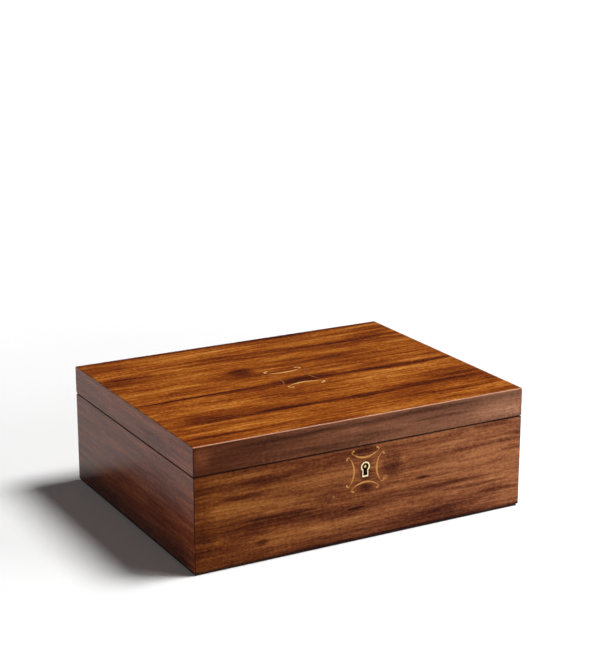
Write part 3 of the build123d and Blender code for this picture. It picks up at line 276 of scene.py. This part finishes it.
WARM = (
    (0.0, (72, 26, 9)),
    (0.2, (106, 44, 12)),
    (0.38, (133, 62, 16)),
    (0.5, (153, 77, 20)),
    (0.62, (174, 96, 28)),
    (0.8, (202, 124, 48)),
    (1.0, (228, 156, 82)),
)
CHESTNUT = (
    (0.0, (50, 18, 6)),
    (0.2, (76, 32, 10)),
    (0.38, (96, 46, 15)),
    (0.5, (112, 58, 20)),
    (0.62, (129, 72, 27)),
    (0.8, (152, 91, 37)),
    (1.0, (180, 116, 56)),
)
BROWN = (
    (0.0, (60, 26, 18)),
    (0.2, (94, 49, 31)),
    (0.38, (120, 69, 44)),
    (0.5, (139, 84, 54)),
    (0.62, (155, 98, 63)),
    (0.8, (176, 118, 76)),
    (1.0, (202, 144, 98)),
)
UMBER = (
    (0.0, (46, 18, 8)),
    (0.2, (72, 33, 14)),
    (0.38, (88, 43, 20)),
    (0.5, (101, 52, 26)),
    (0.62, (116, 63, 33)),
    (0.8, (138, 80, 44)),
    (1.0, (170, 108, 62)),
)
GREYBROWN = (
    (0.0, (68, 38, 26)),
    (0.2, (98, 62, 44)),
    (0.38, (118, 78, 57)),
    (0.5, (132, 89, 66)),
    (0.62, (146, 100, 75)),
    (0.8, (166, 118, 90)),
    (1.0, (194, 146, 116)),
)
MAROON = (
    (0.0, (52, 17, 8)),
    (0.3, (106, 45, 22)),
    (0.5, (132, 62, 32)),
    (0.7, (154, 80, 44)),
    (1.0, (186, 110, 66)),
)

top_veneer = veneer(
    "lid_top_veneer",
    0,
    1,
    WARM,
    3.0,
    streaks=(
        (0, 132, 300, 9, 0.41),
        (-40, 91, 90, 5, 0.29),
        (-24, 88, 34, 5, 0.14),
        (110, 84, 150, 6, 0.34),
        (136, 93, 44, 10, 0.22),
        (60, 72, 120, 10, 0.12),
        (-150, 71, 50, 2.6, 0.31),
        (-39, 38, 21, 18, 0.41),
        (10, 30, 24, 6, 0.26),
        (74, 42, 50, 16, 0.17),
        (130, 18, 60, 4, 0.22),
        (0, -12, 220, 6, 0.26),
        (4, -8, 46, 12, 0.36),
        (112, -12, 120, 8, 0.29),
        (-100, -10, 120, 3.6, 0.19),
        (-128, -72, 36, 13, 0.24),
        (-20, -78, 200, 6, 0.34),
        (60, -80, 90, 5, 0.17),
        (132, -74, 90, 10, 0.31),
        (150, -62, 60, 4, 0.22),
        (-100, -92, 40, 7, 0.14),
        (-140, -115, 70, 2.8, 0.34),
        (120, -102, 90, 8, 0.17),
        (165, -92, 30, 14, 0.19),
    ),
    lights=(
        (95, -30, 90, 13, 0.22),
        (60, 4, 34, 9, 0.24),
        (150, -34, 40, 10, 0.12),
        (-90, -40, 90, 14, 0.16),
        (-110, 20, 70, 12, 0.10),
        (-120, -106, 110, 10, 0.18),
        (90, -118, 90, 8, 0.12),
        (-30, 108, 160, 12, 0.14),
        (30, 60, 60, 10, 0.08),
    ),
    figure=0.3,
    # Painted highlights along the front and right arrises, painted shade along the left and back
    # ones
    edges=((1, -133, 0.9, -0.4), (0, 171, 1.2, -0.3), (0, -171, 1.1, 0.5), (1, 133, 1.6, 0.4)),
    wander=8,
    length=1.3,
    contrast=0.8,
)
case_front_veneer = veneer(
    "case_front_veneer",
    0,
    2,
    CHESTNUT,
    11.0,
    streaks=(
        (-110, 35, 110, 9, 0.36),
        (-20, 31, 80, 6, 0.28),
        (-110, 76, 110, 15, 0.10),
        (-9, 32.5, 11, 1.7, 0.7),
        (-90, 41, 90, 3, 0.22),
        (62, 49.5, 10, 2.6, 0.45),
        (28, 67, 16, 15, 0.30),
        (-122, 65, 34, 3, 0.30),
        (-100, 76, 36, 3, 0.2),
        (-60, 58, 60, 3, 0.16),
        (90, 38, 60, 3, 0.30),
        (110, 31, 50, 3.5, 0.28),
        (150, 22, 40, 4, 0.22),
        (100, 14, 90, 16, 0.2),
        (-105, 18.5, 9, 5, 0.30),
        (0, 87, 16, 5, 0.22),
        (0, 51, 12, 6, 0.30),
        (0, 66, 15, 16, 0.12),
        (0, 70.5, 9, 9, 0.30),
        (0, 62, 7, 8, 0.30),
        # Painted shade: this patch and the next make the bottom and the left end darker
        (0, 1, 260, 8, 0.4),
        (-171, 46, 26, 60, 0.22),
    ),
    lights=(
        (-100, 52, 90, 6, 0.16),
        (-120, 82, 50, 6, 0.12),
        (100, 56, 90, 8, 0.14),
        (110, 74, 70, 6, 0.12),
        (40, 43, 60, 5, 0.16),
        (60, 20, 110, 6, 0.16),
        (-30, 22, 60, 4, 0.14),
        (-110, 17, 90, 8, 0.10),
        (-10, 40.5, 70, 3, 0.22),
        # Painted sheen: the right end a little lighter
        (171, 60, 190, 80, 0.06),
        (22, 57, 5, 4, 0.30),
        (-33, 48, 3, 2.4, 0.30),
    ),
    figure=0.2,
    # Painted sheen: lighter, greyer tones towards the right end
    sheen_tones_right=BROWN,
    coat=0.07,
    wander=4,
    length=1.7,
    contrast=0.72,
    # Painted shade along the seam, the two corners and the bottom
    edges=((2, 90.55, 1.2, 0.85), (0, -171, 1.5, 0.8), (0, 171, 1.0, 0.4), (2, 2, 2.2, 0.6)),
)
lid_front_veneer = veneer(
    "lid_front_veneer",
    0,
    2,
    UMBER,
    23.0,
    streaks=(
        # Painted shade: this patch makes the left half darker
        (-171, 104, 190, 40, 0.22),
        (40, 113, 150, 3.5, 0.30),
        (90, 105, 60, 3, 0.20),
        (-80, 112.5, 80, 4, 0.26),
        (-60, 97, 70, 3, 0.14),
        (20, 99, 50, 2.5, 0.14),
    ),
    # Painted sheen: the patch at 150 makes the right end lighter
    lights=((-162, 106, 12, 16, 0.24), (150, 100, 90, 12, 0.12), (-20, 106, 90, 3.5, 0.12)),
    figure=0.4,
    # Painted sheen: lighter, greyer tones towards the right end
    sheen_tones_right=GREYBROWN,
    coat=0.1,
    wander=4,
    length=1.5,
    contrast=0.5,
    # Painted shade along the seam and the two corners
    edges=((2, 90.85, 1.0, 0.7), (0, -171, 1.5, 0.8), (0, 171, 1.0, 0.4)),
)
# Painted shade along the seam and the bottom
seam_shade_edges = ((2, 90.7, 1.0, 0.8), (2, 2, 2.0, 0.5))
side_veneer = veneer(
    "side_veneer",
    1,
    2,
    MAROON,
    31.0,
    figure=0.2,
    wander=4,
    length=1.5,
    contrast=0.7,
    edges=seam_shade_edges,
)
right_veneer = veneer(
    "right_veneer",
    1,
    2,
    CHESTNUT,
    37.0,
    figure=0.2,
    wander=4,
    length=1.6,
    contrast=0.75,
    coat=0.3,
    edges=seam_shade_edges,
)
back_veneer = veneer(
    "back_veneer",
    0,
    2,
    BROWN,
    47.0,
    figure=0.3,
    wander=4,
    length=1.6,
    contrast=0.85,
    edges=seam_shade_edges,
)

paint(top_veneer, "lid_top_veneer")
paint(case_front_veneer, "case_front_panel")
paint(lid_front_veneer, "lid_front_rail")
paint(side_veneer, "case_left_panel", "lid_left_rail")
paint(right_veneer, "case_right_panel", "lid_right_rail")
paint(back_veneer, "case_back_panel", "lid_back_rail")


# Plain wood, inlay, metals, cloth and glass

# Colour of the painted shade inside the keyhole's bore
BORE_SHADE = rgb(74, 30, 18)
BORE_SHADE_FADE = 0.5
BESIDE_FADE = 1.5
TINT_LIGHTER = 60
WAVE_SCALE = 0.32


def plain_wood(name, colour, dark):
    g = Graph(name, colour, 0.6)
    lines = g.noise((90, 2.4, 2.4), 4, 0.6)
    pores = g.noise((9, 0.5, 0.5), 2, 0.6)
    share = g.math("ADD", g.span(lines, 0.3, 0.72, 0.0, 0.8), g.span(pores, 0.56, 0.7, 0.0, 0.35))
    g.colour(g.mix(share, rgb(*colour), rgb(*dark)))
    g.rough(g.span(lines, NOISE_LOW, NOISE_HIGH, 0.5, 0.7))
    g.bump(pores, 0.08, 0.5)
    return g.material


def boxwood(name, colour, pale, beside=None):
    """Inlaid boxwood. The scrolls at the left and right of a motif may have their own colour."""
    g = Graph(name, colour, 0.35, {"Coat Weight": 0.3, "Coat Roughness": 0.15})
    grain = g.noise((6, 0.8, 0.8), 3, 0.6)
    cloud = g.noise((9, 9, 9), shift=(3, 1, 0))
    cloud_share = g.span(cloud, NOISE_LOW, NOISE_HIGH, 0.3, 1.0)
    share = g.math("MULTIPLY", g.share(grain), cloud_share)
    wood = g.mix(share, rgb(*colour), rgb(*pale))
    if beside:
        parts = g.split(g.place)
        sideways = g.math("SUBTRACT", g.math("ABSOLUTE", parts[0]), g.math("ABSOLUTE", parts[1]))
        wood = g.mix(g.span(sideways, -BESIDE_FADE * MM, BESIDE_FADE * MM), wood, rgb(*beside))
    g.colour(wood)
    g.bump(grain, 0.03, 0.3)
    return g.material


def metal(name, colour, dull, *, rough, brushed=(30, 0.4, 0.4), wear=0.5, metallic=1.0,
          bore_depth=None):
    """Metal with brushed strokes and dull patches, and painted shade behind bore_depth (a place on
    Y).
    """
    g = Graph(name, colour, rough, {"Metallic": metallic})
    strokes = g.noise(brushed, 3, 0.6)
    age = g.noise((7, 7, 7), 4, 0.6, shift=(5, 2, 1))
    spots = g.noise((1.3, 1.3, 1.3), shift=(1, 8, 3))
    patches = g.math("MULTIPLY", g.span(age, 0.42, 0.72), wear)
    dots = g.math("MULTIPLY", g.span(spots, 0.6, 0.75), wear * 0.5)
    plate = g.mix(g.math("ADD", patches, dots, clamp=True), rgb(*colour), rgb(*dull))
    # Painted shade: the bore behind bore_depth is darkened
    if bore_depth:
        place_y = g.split(g.place)[1]
        behind = g.span(place_y, bore_depth * MM, (bore_depth + BORE_SHADE_FADE) * MM)
        plate = g.mix(behind, plate, BORE_SHADE)
    g.colour(plate)
    worn = g.span(age, NOISE_LOW, NOISE_HIGH, rough * 0.75, rough * 1.4)
    g.rough(g.math("ADD", worn, g.span(strokes, NOISE_LOW, NOISE_HIGH, -0.05, 0.08)))
    g.bump(strokes, 0.02, 0.3)
    return g.material


def cloth(name, colour, deep, *, nap, thread=0.0, fuzz=0.6):
    """Velvet, suede or felt: a short nap with lighter and darker strokes, or a ribbed weave."""
    sheen = {
        "Sheen Weight": fuzz,
        "Sheen Roughness": 0.4,
        "Sheen Tint": rgb(*[min(255, channel + TINT_LIGHTER) for channel in colour]),
        "Specular IOR Level": 0.2,
    }
    g = Graph(name, colour, 0.9, sheen)
    strokes = g.noise((16, 9, 9), 3, 0.55, 0.4)
    fibres = g.noise((0.5, 0.35, 0.35), 3, 0.7)
    stroked = g.span(strokes, 0.35, 0.68, 0, nap)
    fibred = g.span(fibres, NOISE_LOW, NOISE_HIGH, 0, 0.3)
    g.colour(g.mix(g.math("ADD", stroked, fibred, clamp=True), rgb(*colour), rgb(*deep)))
    g.rough(g.span(fibres, NOISE_LOW, NOISE_HIGH, 0.8, 1.0))
    relief = fibres
    if thread:
        wires = {"Vector": g.stretch((thread, thread, thread)), "Scale": WAVE_SCALE}
        wave = g.node("ShaderNodeTexWave", wires, wave_type="BANDS", bands_direction="Y")
        relief = g.math("ADD", wave.outputs["Fac"], g.math("MULTIPLY", fibres, 0.5))
    g.bump(relief, 0.12, 0.6)
    return g.material


def mirror_glass():
    """Silvered glass with a little dust."""
    g = Graph("mirror_glass", (232, 236, 236), 0.03, {"Metallic": 1.0})
    dust = g.noise((14, 14, 14), 4, 0.6)
    g.rough(g.span(dust, 0.35, 0.75, 0.02, 0.07))
    g.colour(g.mix(g.span(dust, 0.5, 0.8, 0, 0.25), rgb(232, 236, 236), rgb(206, 212, 210)))
    g.bump(g.noise((40, 40, 40), 1), 0.02, 0.1)
    return g.material


def clear_glass():
    """Window glass with a few smears."""
    clear = {"Transmission Weight": 1.0, "IOR": 1.46, "Alpha": 0.3}
    g = Graph("clear_glass", (246, 250, 249), 0.04, clear)
    smear = g.noise((22, 9, 9), 3, 0.6, 0.6)
    g.rough(g.span(smear, 0.4, 0.8, 0.02, 0.09))
    g.colour(g.mix(g.span(smear, 0.5, 0.8, 0, 0.2), rgb(246, 250, 249), rgb(232, 240, 238)))
    g.bump(smear, 0.01, 0.1)
    return g.material


pine = plain_wood("softwood", (196, 152, 98), (150, 104, 58))
cover_wood = plain_wood("cover_wood", (150, 96, 52), (104, 60, 28))
inlay = boxwood("boxwood_inlay", (180, 110, 24), (210, 144, 40))
lid_inlay = boxwood("lid_boxwood_inlay", (232, 168, 84), (250, 204, 128), (150, 82, 28))
escutcheon_brass = metal(
    "escutcheon_brass",
    (252, 236, 188),
    (226, 198, 130),
    rough=0.4,
    wear=0.3,
    metallic=0.4,
    bore_depth=-132.9,
)
# Painted shade: the lock's cover plate, seen through the keyhole, is a darkened brass
shaded_brass = metal("shaded_brass", (118, 84, 44), (60, 36, 20), rough=0.5, wear=0.8)
brass = metal("brass", (228, 192, 118), (176, 134, 70), rough=0.3, wear=0.35, metallic=0.7)
steel = metal("steel", (188, 188, 186), (120, 116, 110), rough=0.3)
blued = metal("spring_steel", (120, 124, 136), (66, 68, 82), rough=0.22)
casting = metal(
    "painted_casting",
    (176, 148, 92),
    (112, 90, 54),
    rough=0.45,
    brushed=(1.2, 1.2, 1.2),
    metallic=0.7,
)
felt = cloth("dark_felt", (46, 34, 28), (22, 16, 13), nap=0.4)
suede = cloth("champagne_suede", (206, 184, 148), (172, 148, 112), nap=0.5)
velvet = cloth("champagne_velvet", (212, 190, 154), (164, 140, 104), nap=0.6, fuzz=0.8)
ribbon = cloth("bronze_ribbon", (170, 136, 92), (132, 102, 64), nap=0.2, thread=0.8, fuzz=0.3)

paint(pine, "bottom_board", "lid_top_board")
paint(cover_wood, "movement_cover_frame")
paint(inlay, "front_scroll_inlay")
paint(lid_inlay, "lid_scroll_inlay")
paint(escutcheon_brass, "keyhole_escutcheon")
paint(shaded_brass, "lock_cover_plate")
paint(
    brass,
    "case_brass_screws",
    "lid_brass_screws",
    "hinge_lower_leaves",
    "hinge_upper_leaves",
    "lock_case",
    "lock_drill_pin",
    "lock_strike_plate",
    "music_cylinder",
    "cylinder_brackets",
    "spring_housing",
    "governor_bracket",
    "winding_key",
    "air_fan",
    "hinge_pins",
    "governor_arbor",
    "stop_plunger",
    "stop_guide_post",
)
paint(steel, "lock_bolt", "cylinder_arbor", "winding_arbor", "movement_screws", "music_comb")
paint(blued, "lock_detent_spring", "mainspring")
paint(casting, "movement_bedplate", "comb_base")
paint(
    suede,
    "case_wall_lining",
    "long_partition",
    "cross_partition",
    "tray_base",
    "tray_rim",
    "tray_dividers",
    "mirror_frame",
    "floor_pads",
    "tray_pads",
    "lid_lining_panel",
    "stop_block",
    "ledge_strips",
)
paint(velvet, "ring_rolls")
paint(ribbon, "tray_pull_tabs")
paint(felt, "base_felt_strips")
paint(mirror_glass(), "lid_mirror")
paint(clear_glass(), "movement_cover_glass")


# Cushions, pads and ribbons


def in_mm(corners):
    return [[c / MM for c in corner] for corner in corners]


def add_object(name, data):
    made = bpy.data.objects.new(name, data)
    bpy.context.scene.collection.objects.link(made)
    return made


def smooth_piece(name, mesh, material):
    """An object made of a bmesh, smooth all over."""
    bmesh.ops.recalc_face_normals(mesh, faces=mesh.faces)
    data = bpy.data.meshes.new(name)
    mesh.to_mesh(data)
    mesh.free()
    for face in data.polygons:
        face.use_smooth = True
    data.materials.append(material)
    return add_object(name, data)


def closed_piece(name, rows, material):
    """A skin over rows of points, each a loop round the piece. The end rows are filled."""
    mesh = bmesh.new()
    rings = [[mesh.verts.new([c * MM for c in point]) for point in row] for row in rows]
    for one, two in zip(rings, rings[1:]):
        for i in range(len(one)):
            j = (i + 1) % len(one)
            mesh.faces.new((one[i], one[j], two[j], two[i]))
    mesh.faces.new(rings[0][::-1])
    mesh.faces.new(rings[-1])
    return smooth_piece(name, mesh, material)


def settle(piece, body, node):
    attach(piece, body)
    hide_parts(node)


def draw_phases():
    """Four random starts for the waves of a piece's surface."""
    return [random.uniform(0, 2 * math.pi) for _ in range(4)]


ROLL_COUNT = 11
ROLL_PITCH = 13.9
ROLL_WIDTH = 13.4
ROLL_ROWS, ROLL_POINTS = 40, 28
ROLL_FULLNESS = 0.985
ROLL_END_WIDTH, ROLL_END_HEIGHT = 0.25, 0.35
ROLL_END_POWER = 14  # the higher, the shorter the rounded ends
ROLL_TAPER = 0.1
ROLL_SIDE_POWER, ROLL_TOP_POWER = 0.72, 0.8  # under 1 is squarer than an ellipse


def ring_roll(index, low, high):
    """A roll of foam in velvet: round on top, flat below, drawn in at its ends, a little uneven."""
    middle_x, middle_y = (low[0] + high[0]) / 2, (low[1] + high[1]) / 2
    half_x, half_y = (high[0] - low[0]) / 2, (high[1] - low[1]) / 2
    tall = high[2] - low[2]
    phases = draw_phases()
    rows = []
    for step in range(ROLL_ROWS + 1):
        along = -math.cos(math.pi * step / ROLL_ROWS)
        end = (1 - abs(along) ** ROLL_END_POWER) ** 0.5
        wave = 0.012 * math.sin(9 * along + phases[0]) + 0.008 * math.sin(23 * along + phases[1])
        lean = 0.2 * math.sin(5 * along + phases[2])
        fullness = ROLL_FULLNESS + wave
        taper = 1 - ROLL_TAPER * (1 - end)
        width = half_y * fullness * taper * (ROLL_END_WIDTH + (1 - ROLL_END_WIDTH) * end)
        height = tall * fullness * (ROLL_END_HEIGHT + (1 - ROLL_END_HEIGHT) * end)
        row = []
        for point in range(ROLL_POINTS):
            angle = math.pi * (point + 0.5) / ROLL_POINTS
            side = math.copysign(abs(math.cos(angle)) ** ROLL_SIDE_POWER, math.cos(angle))
            top = math.sin(angle) ** ROLL_TOP_POWER
            y = middle_y + side * width + lean * top
            row.append((middle_x + along * half_x, y, low[2] + height * top))
        rows.append(row)
    piece = closed_piece(f"ring_roll_{index:02d}", rows, velvet)
    settle(piece, "case", "ring_rolls")


PAD_CELLS = 48
PAD_SHOULDER, PAD_SWELL = 0.8075, 0.165  # shares of the thickness
PAD_EDGE_ROLL = 1.4  # width of the rolled edge, in thicknesses
PAD_EDGE_POWER = 2.4
STITCH_INSET, STITCH_WIDTH, STITCH_DEPTH = 5.0, 0.9, 0.10
SIDE_DRAW, END_DRAW = 0.0022, 0.003  # how far the sides are drawn in at their middles
FRAME_PRESS, FRAME_REACH = 0.16, 7
MERGE_DISTANCE = 0.004


def pad_rise(u, v, edge, thick, phases):
    """How high a pad's face stands, as a share of its thickness. edge is the way to the edge."""
    from_edge = min(1.0, edge / (PAD_EDGE_ROLL * thick))
    rise = PAD_SHOULDER * (1 - (1 - from_edge) ** PAD_EDGE_POWER) ** 0.5
    rise += PAD_SWELL * (1 - u**6) * (1 - v**6)
    rise -= STITCH_DEPTH * math.exp(-(((edge - STITCH_INSET) / STITCH_WIDTH) ** 2))
    rise += 0.02 * math.sin(7 * u + phases[0]) * math.sin(6 * v + phases[1])
    rise += 0.012 * math.sin(17 * u + phases[2]) * math.sin(13 * v + phases[3])
    return rise


def flat_pad(name, low, high, body, node, down=False, frame_half=None):
    """A thin stuffed pad with a crowned face, rolled edges and a row of stitches inside them.

    down turns its face to the floor. A frame of half the size frame_half presses it in.
    """
    centre = [(a + b) / 2 for a, b in zip(low, high)]
    half = [(b - a) / 2 for a, b in zip(low, high)]
    thick = high[2] - low[2]
    phases = draw_phases()
    places = [math.sin(math.pi * (i / PAD_CELLS - 0.5)) for i in range(PAD_CELLS + 1)]
    mesh = bmesh.new()
    for is_face in (False, True):
        grid = []
        for u in places:
            column = []
            for v in places:
                x = half[0] * u * (1 - SIDE_DRAW * (1 - v * v))
                y = half[1] * v * (1 - END_DRAW * (1 - u * u))
                rise = 0.0
                if is_face:
                    edge = min(half[0] - abs(half[0] * u), half[1] - abs(half[1] * v))
                    rise = pad_rise(u, v, edge, thick, phases)
                    if frame_half:
                        outside = max(abs(x) - frame_half[0], abs(y) - frame_half[1])
                        clear = min(1.0, max(0.0, outside / FRAME_REACH))
                        rise -= FRAME_PRESS * (1 - clear**0.5)
                    rise = max(0.0, min(1.0, rise))
                z = high[2] - thick * rise if down else low[2] + thick * rise
                point = (centre[0] + x, centre[1] + y, z)
                column.append(mesh.verts.new([c * MM for c in point]))
            grid.append(column)
        for one, two in zip(grid, grid[1:]):
            for j in range(PAD_CELLS):
                mesh.faces.new((one[j], two[j], two[j + 1], one[j + 1]))
    bmesh.ops.remove_doubles(mesh, verts=mesh.verts, dist=MERGE_DISTANCE * MM)
    piece = smooth_piece(name, mesh, suede)
    settle(piece, body, node)


roll_low, roll_high = in_mm(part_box("ring_rolls"))
for index in range(ROLL_COUNT):
    roll_back = roll_high[1] - index * ROLL_PITCH
    front_corner = (roll_low[0], roll_back - ROLL_WIDTH, roll_low[2])
    back_corner = (roll_high[0], roll_back, roll_high[2])
    ring_roll(index + 1, front_corner, back_corner)

pads = {
    "floor_pad_front": ((-157.4, -119.4, 19), (157.4, 45.6, 22), "floor_pads"),
    "floor_pad_back": ((-157.4, 50.4, 19), (39.6, 119.4, 22), "floor_pads"),
    "tray_pad_back_right": ((53.4, -35.0, 58.5), (152.4, 40.6, 60.5), "tray_pads"),
    "tray_pad_front_right": ((53.4, -114.4, 58.5), (152.4, -38.8, 60.5), "tray_pads"),
    "tray_pad_back_left": ((-152.4, -35.0, 58.5), (-53.4, 40.6, 60.5), "tray_pads"),
    "tray_pad_front_left": ((-152.4, -114.4, 58.5), (-53.4, -38.8, 60.5), "tray_pads"),
}
for name, (low, high, node) in pads.items():
    flat_pad(name, low, high, "case", node)
lining_low, lining_high = in_mm(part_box("lid_lining_panel"))
mirror_frame_half = (118, 83)
flat_pad(
    "lid_pad",
    lining_low,
    lining_high,
    "lid",
    "lid_lining_panel",
    down=True,
    frame_half=mirror_frame_half,
)

TAB_THICKNESS = 0.36
TAB_GAP = 0.84  # between the two layers
TAB_BULGE = 0.33
TAB_CURL = 0.10
TAB_FOLD_DROP, TAB_FOLD_RISE = 4.2, 4.1
TAB_STRAIGHT_STEPS, TAB_FOLD_STEPS, TAB_COLUMNS = 11, 16, 12


def pull_tab(side):
    """A folded ribbon: two layers that part into a loop where they stand above the rim."""
    low, high = in_mm(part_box("tray_pull_tabs"))
    outside = side * high[0]
    middle_y, half_y = (low[1] + high[1]) / 2, (high[1] - low[1]) / 2
    fold_foot = high[2] - TAB_FOLD_DROP
    steps = range(TAB_STRAIGHT_STEPS + 1)
    heights = [low[2] + (fold_foot - low[2]) * step / TAB_STRAIGHT_STEPS for step in steps]
    path = [(0.0, z) for z in heights]
    for step in range(1, TAB_FOLD_STEPS):
        angle = math.pi * step / TAB_FOLD_STEPS
        away = TAB_GAP / 2 * (1 - math.cos(angle)) + TAB_BULGE * math.sin(angle) ** 2
        path.append((away, fold_foot + TAB_FOLD_RISE * math.sin(angle)))
    path += [(TAB_GAP, z) for z in reversed(heights)]
    columns = [2 * column / TAB_COLUMNS - 1 for column in range(TAB_COLUMNS + 1)]
    rows = []
    for number, (away, z) in enumerate(path):
        before = path[max(0, number - 1)]
        after = path[min(len(path) - 1, number + 1)]
        run = math.hypot(after[0] - before[0], after[1] - before[1])
        normal = ((after[1] - before[1]) / run, -(after[0] - before[0]) / run)
        row = []
        for depth, order in ((0.0, columns), (TAB_THICKNESS, reversed(columns))):
            for v in order:
                inward = away + TAB_CURL * v * v + normal[0] * depth
                row.append((outside - side * inward, middle_y + v * half_y, z + normal[1] * depth))
        rows.append(row)
    piece = closed_piece(f"pull_tab_{'right' if side > 0 else 'left'}", rows, ribbon)
    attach(piece, "case")
    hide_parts("tray_pull_tabs")


pull_tab(1)
pull_tab(-1)


# Floor and light. Lengths are in metres from here on

FLOOR_REACH = 14.0
GLOW_FROM, GLOW_TO = 0.3, 1.6
GLOW_LOW, GLOW_HIGH = 0.04, 0.35
WHITE = (1, 1, 1, 1)

corners = [(x * FLOOR_REACH, y * FLOOR_REACH, 0) for x, y in ((-1, -1), (1, -1), (1, 1), (-1, 1))]
floor_mesh = bpy.data.meshes.new("floor")
floor_mesh.from_pydata(corners, [], [(0, 1, 2, 3)])
floor = add_object("floor", floor_mesh)
matt_white = {"Specular IOR Level": 0.0, "Emission Color": WHITE}
g = Graph("pale_floor", (252, 252, 252), 0.9, matt_white)
cloud = g.noise((400, 400, 400))
g.colour(g.mix(g.share(cloud), rgb(253, 253, 253), rgb(250, 250, 250)))

# The floor glows only for the camera and in reflections, and least near the object's shadow
rays = g.node("ShaderNodeLightPath").outputs
mirrored = g.math("MAXIMUM", rays["Is Glossy Ray"], rays["Is Transmission Ray"])
seen = g.math("MAXIMUM", rays["Is Camera Ray"], mirrored)
glow = g.span(g.length(g.place), GLOW_FROM, GLOW_TO, GLOW_LOW, GLOW_HIGH)
g.feed(g.shader["Emission Strength"], g.math("MULTIPLY", seen, glow))
floor_mesh.materials.append(g.material)


def add_lamp(name, data, place, aim):
    lamp = add_object(name, data)
    lamp.location = place
    lamp.rotation_euler = (Vector(aim) - Vector(place)).to_track_quat("-Z", "Y").to_euler()


def sun(name, toward, strength, angle):
    """An even light from far away. A face turned toward it gets the given strength."""
    data = bpy.data.lights.new(name, "SUN")
    data.energy = strength * math.pi
    data.angle = math.radians(angle)
    add_lamp(name, data, toward, (0, 0, 0))


def softbox(name, place, aim, size, power):
    data = bpy.data.lights.new(name, "AREA")
    data.shape = "RECTANGLE"
    data.size, data.size_y = size
    data.energy = power
    add_lamp(name, data, place, aim)


sun("key", toward=(0.58, -0.16, 1.0), strength=1.0, angle=22)
softbox("front_box", place=(0.66, -0.76, 0.44), aim=(0, 0, 0.05), size=(0.5, 0.5), power=4.6)

# Past the floor's edge the backdrop is white, also in low reflections, and overhead it is dark
BACKDROP_FULL, BACKDROP_GONE = 0.08, 0.16
ROOM_STRENGTH = 0.03

world = bpy.data.worlds.new("studio")
bpy.context.scene.world = world
world.use_nodes = True
air = Wiring(world.node_tree)
background = world.node_tree.nodes["Background"].inputs
background["Color"].default_value = WHITE
ray_rise = air.split(air.node("ShaderNodeTexCoord").outputs["Generated"])["Z"]
low_share = air.span(ray_rise, BACKDROP_FULL, BACKDROP_GONE, 1.0, 0.0, smooth=False)
rays = air.node("ShaderNodeLightPath").outputs
mirrored = air.math("MAXIMUM", rays["Is Glossy Ray"], rays["Is Transmission Ray"])
shown = air.math("MAXIMUM", rays["Is Camera Ray"], air.math("MULTIPLY", mirrored, low_share))
strength = air.math("MULTIPLY_ADD", shown, 1 - ROOM_STRENGTH, ROOM_STRENGTH)
air.feed(background["Strength"], strength)


# The photograph's camera, solved from the corners of the box. It looks along -back

CAMERA_AZIMUTH = math.radians(-28.825)
CAMERA_ELEVATION = math.radians(15.9692)
CAMERA_DISTANCE = 1.6408
CAMERA_RIGHT = 0.00076
CAMERA_UP = 0.15649
SENSOR_WIDTH, FOCAL_LENGTH = 36.0, 91.014

level = math.cos(CAMERA_ELEVATION)
right = Vector((math.cos(CAMERA_AZIMUTH), math.sin(CAMERA_AZIMUTH), 0))
back = Vector((right.y * level, -right.x * level, math.sin(CAMERA_ELEVATION)))
up = back.cross(right)
camera_data = bpy.data.cameras.new("camera")
camera_data.sensor_width = SENSOR_WIDTH
camera_data.lens = FOCAL_LENGTH
camera_data.clip_start = 0.01
camera = add_object("camera", camera_data)
camera.location = back * CAMERA_DISTANCE + right * CAMERA_RIGHT + up * CAMERA_UP
camera.rotation_euler = back.to_track_quat("Z", "Y").to_euler()
bpy.context.scene.camera = camera
bpy.context.scene.view_settings.view_transform = "Standard"
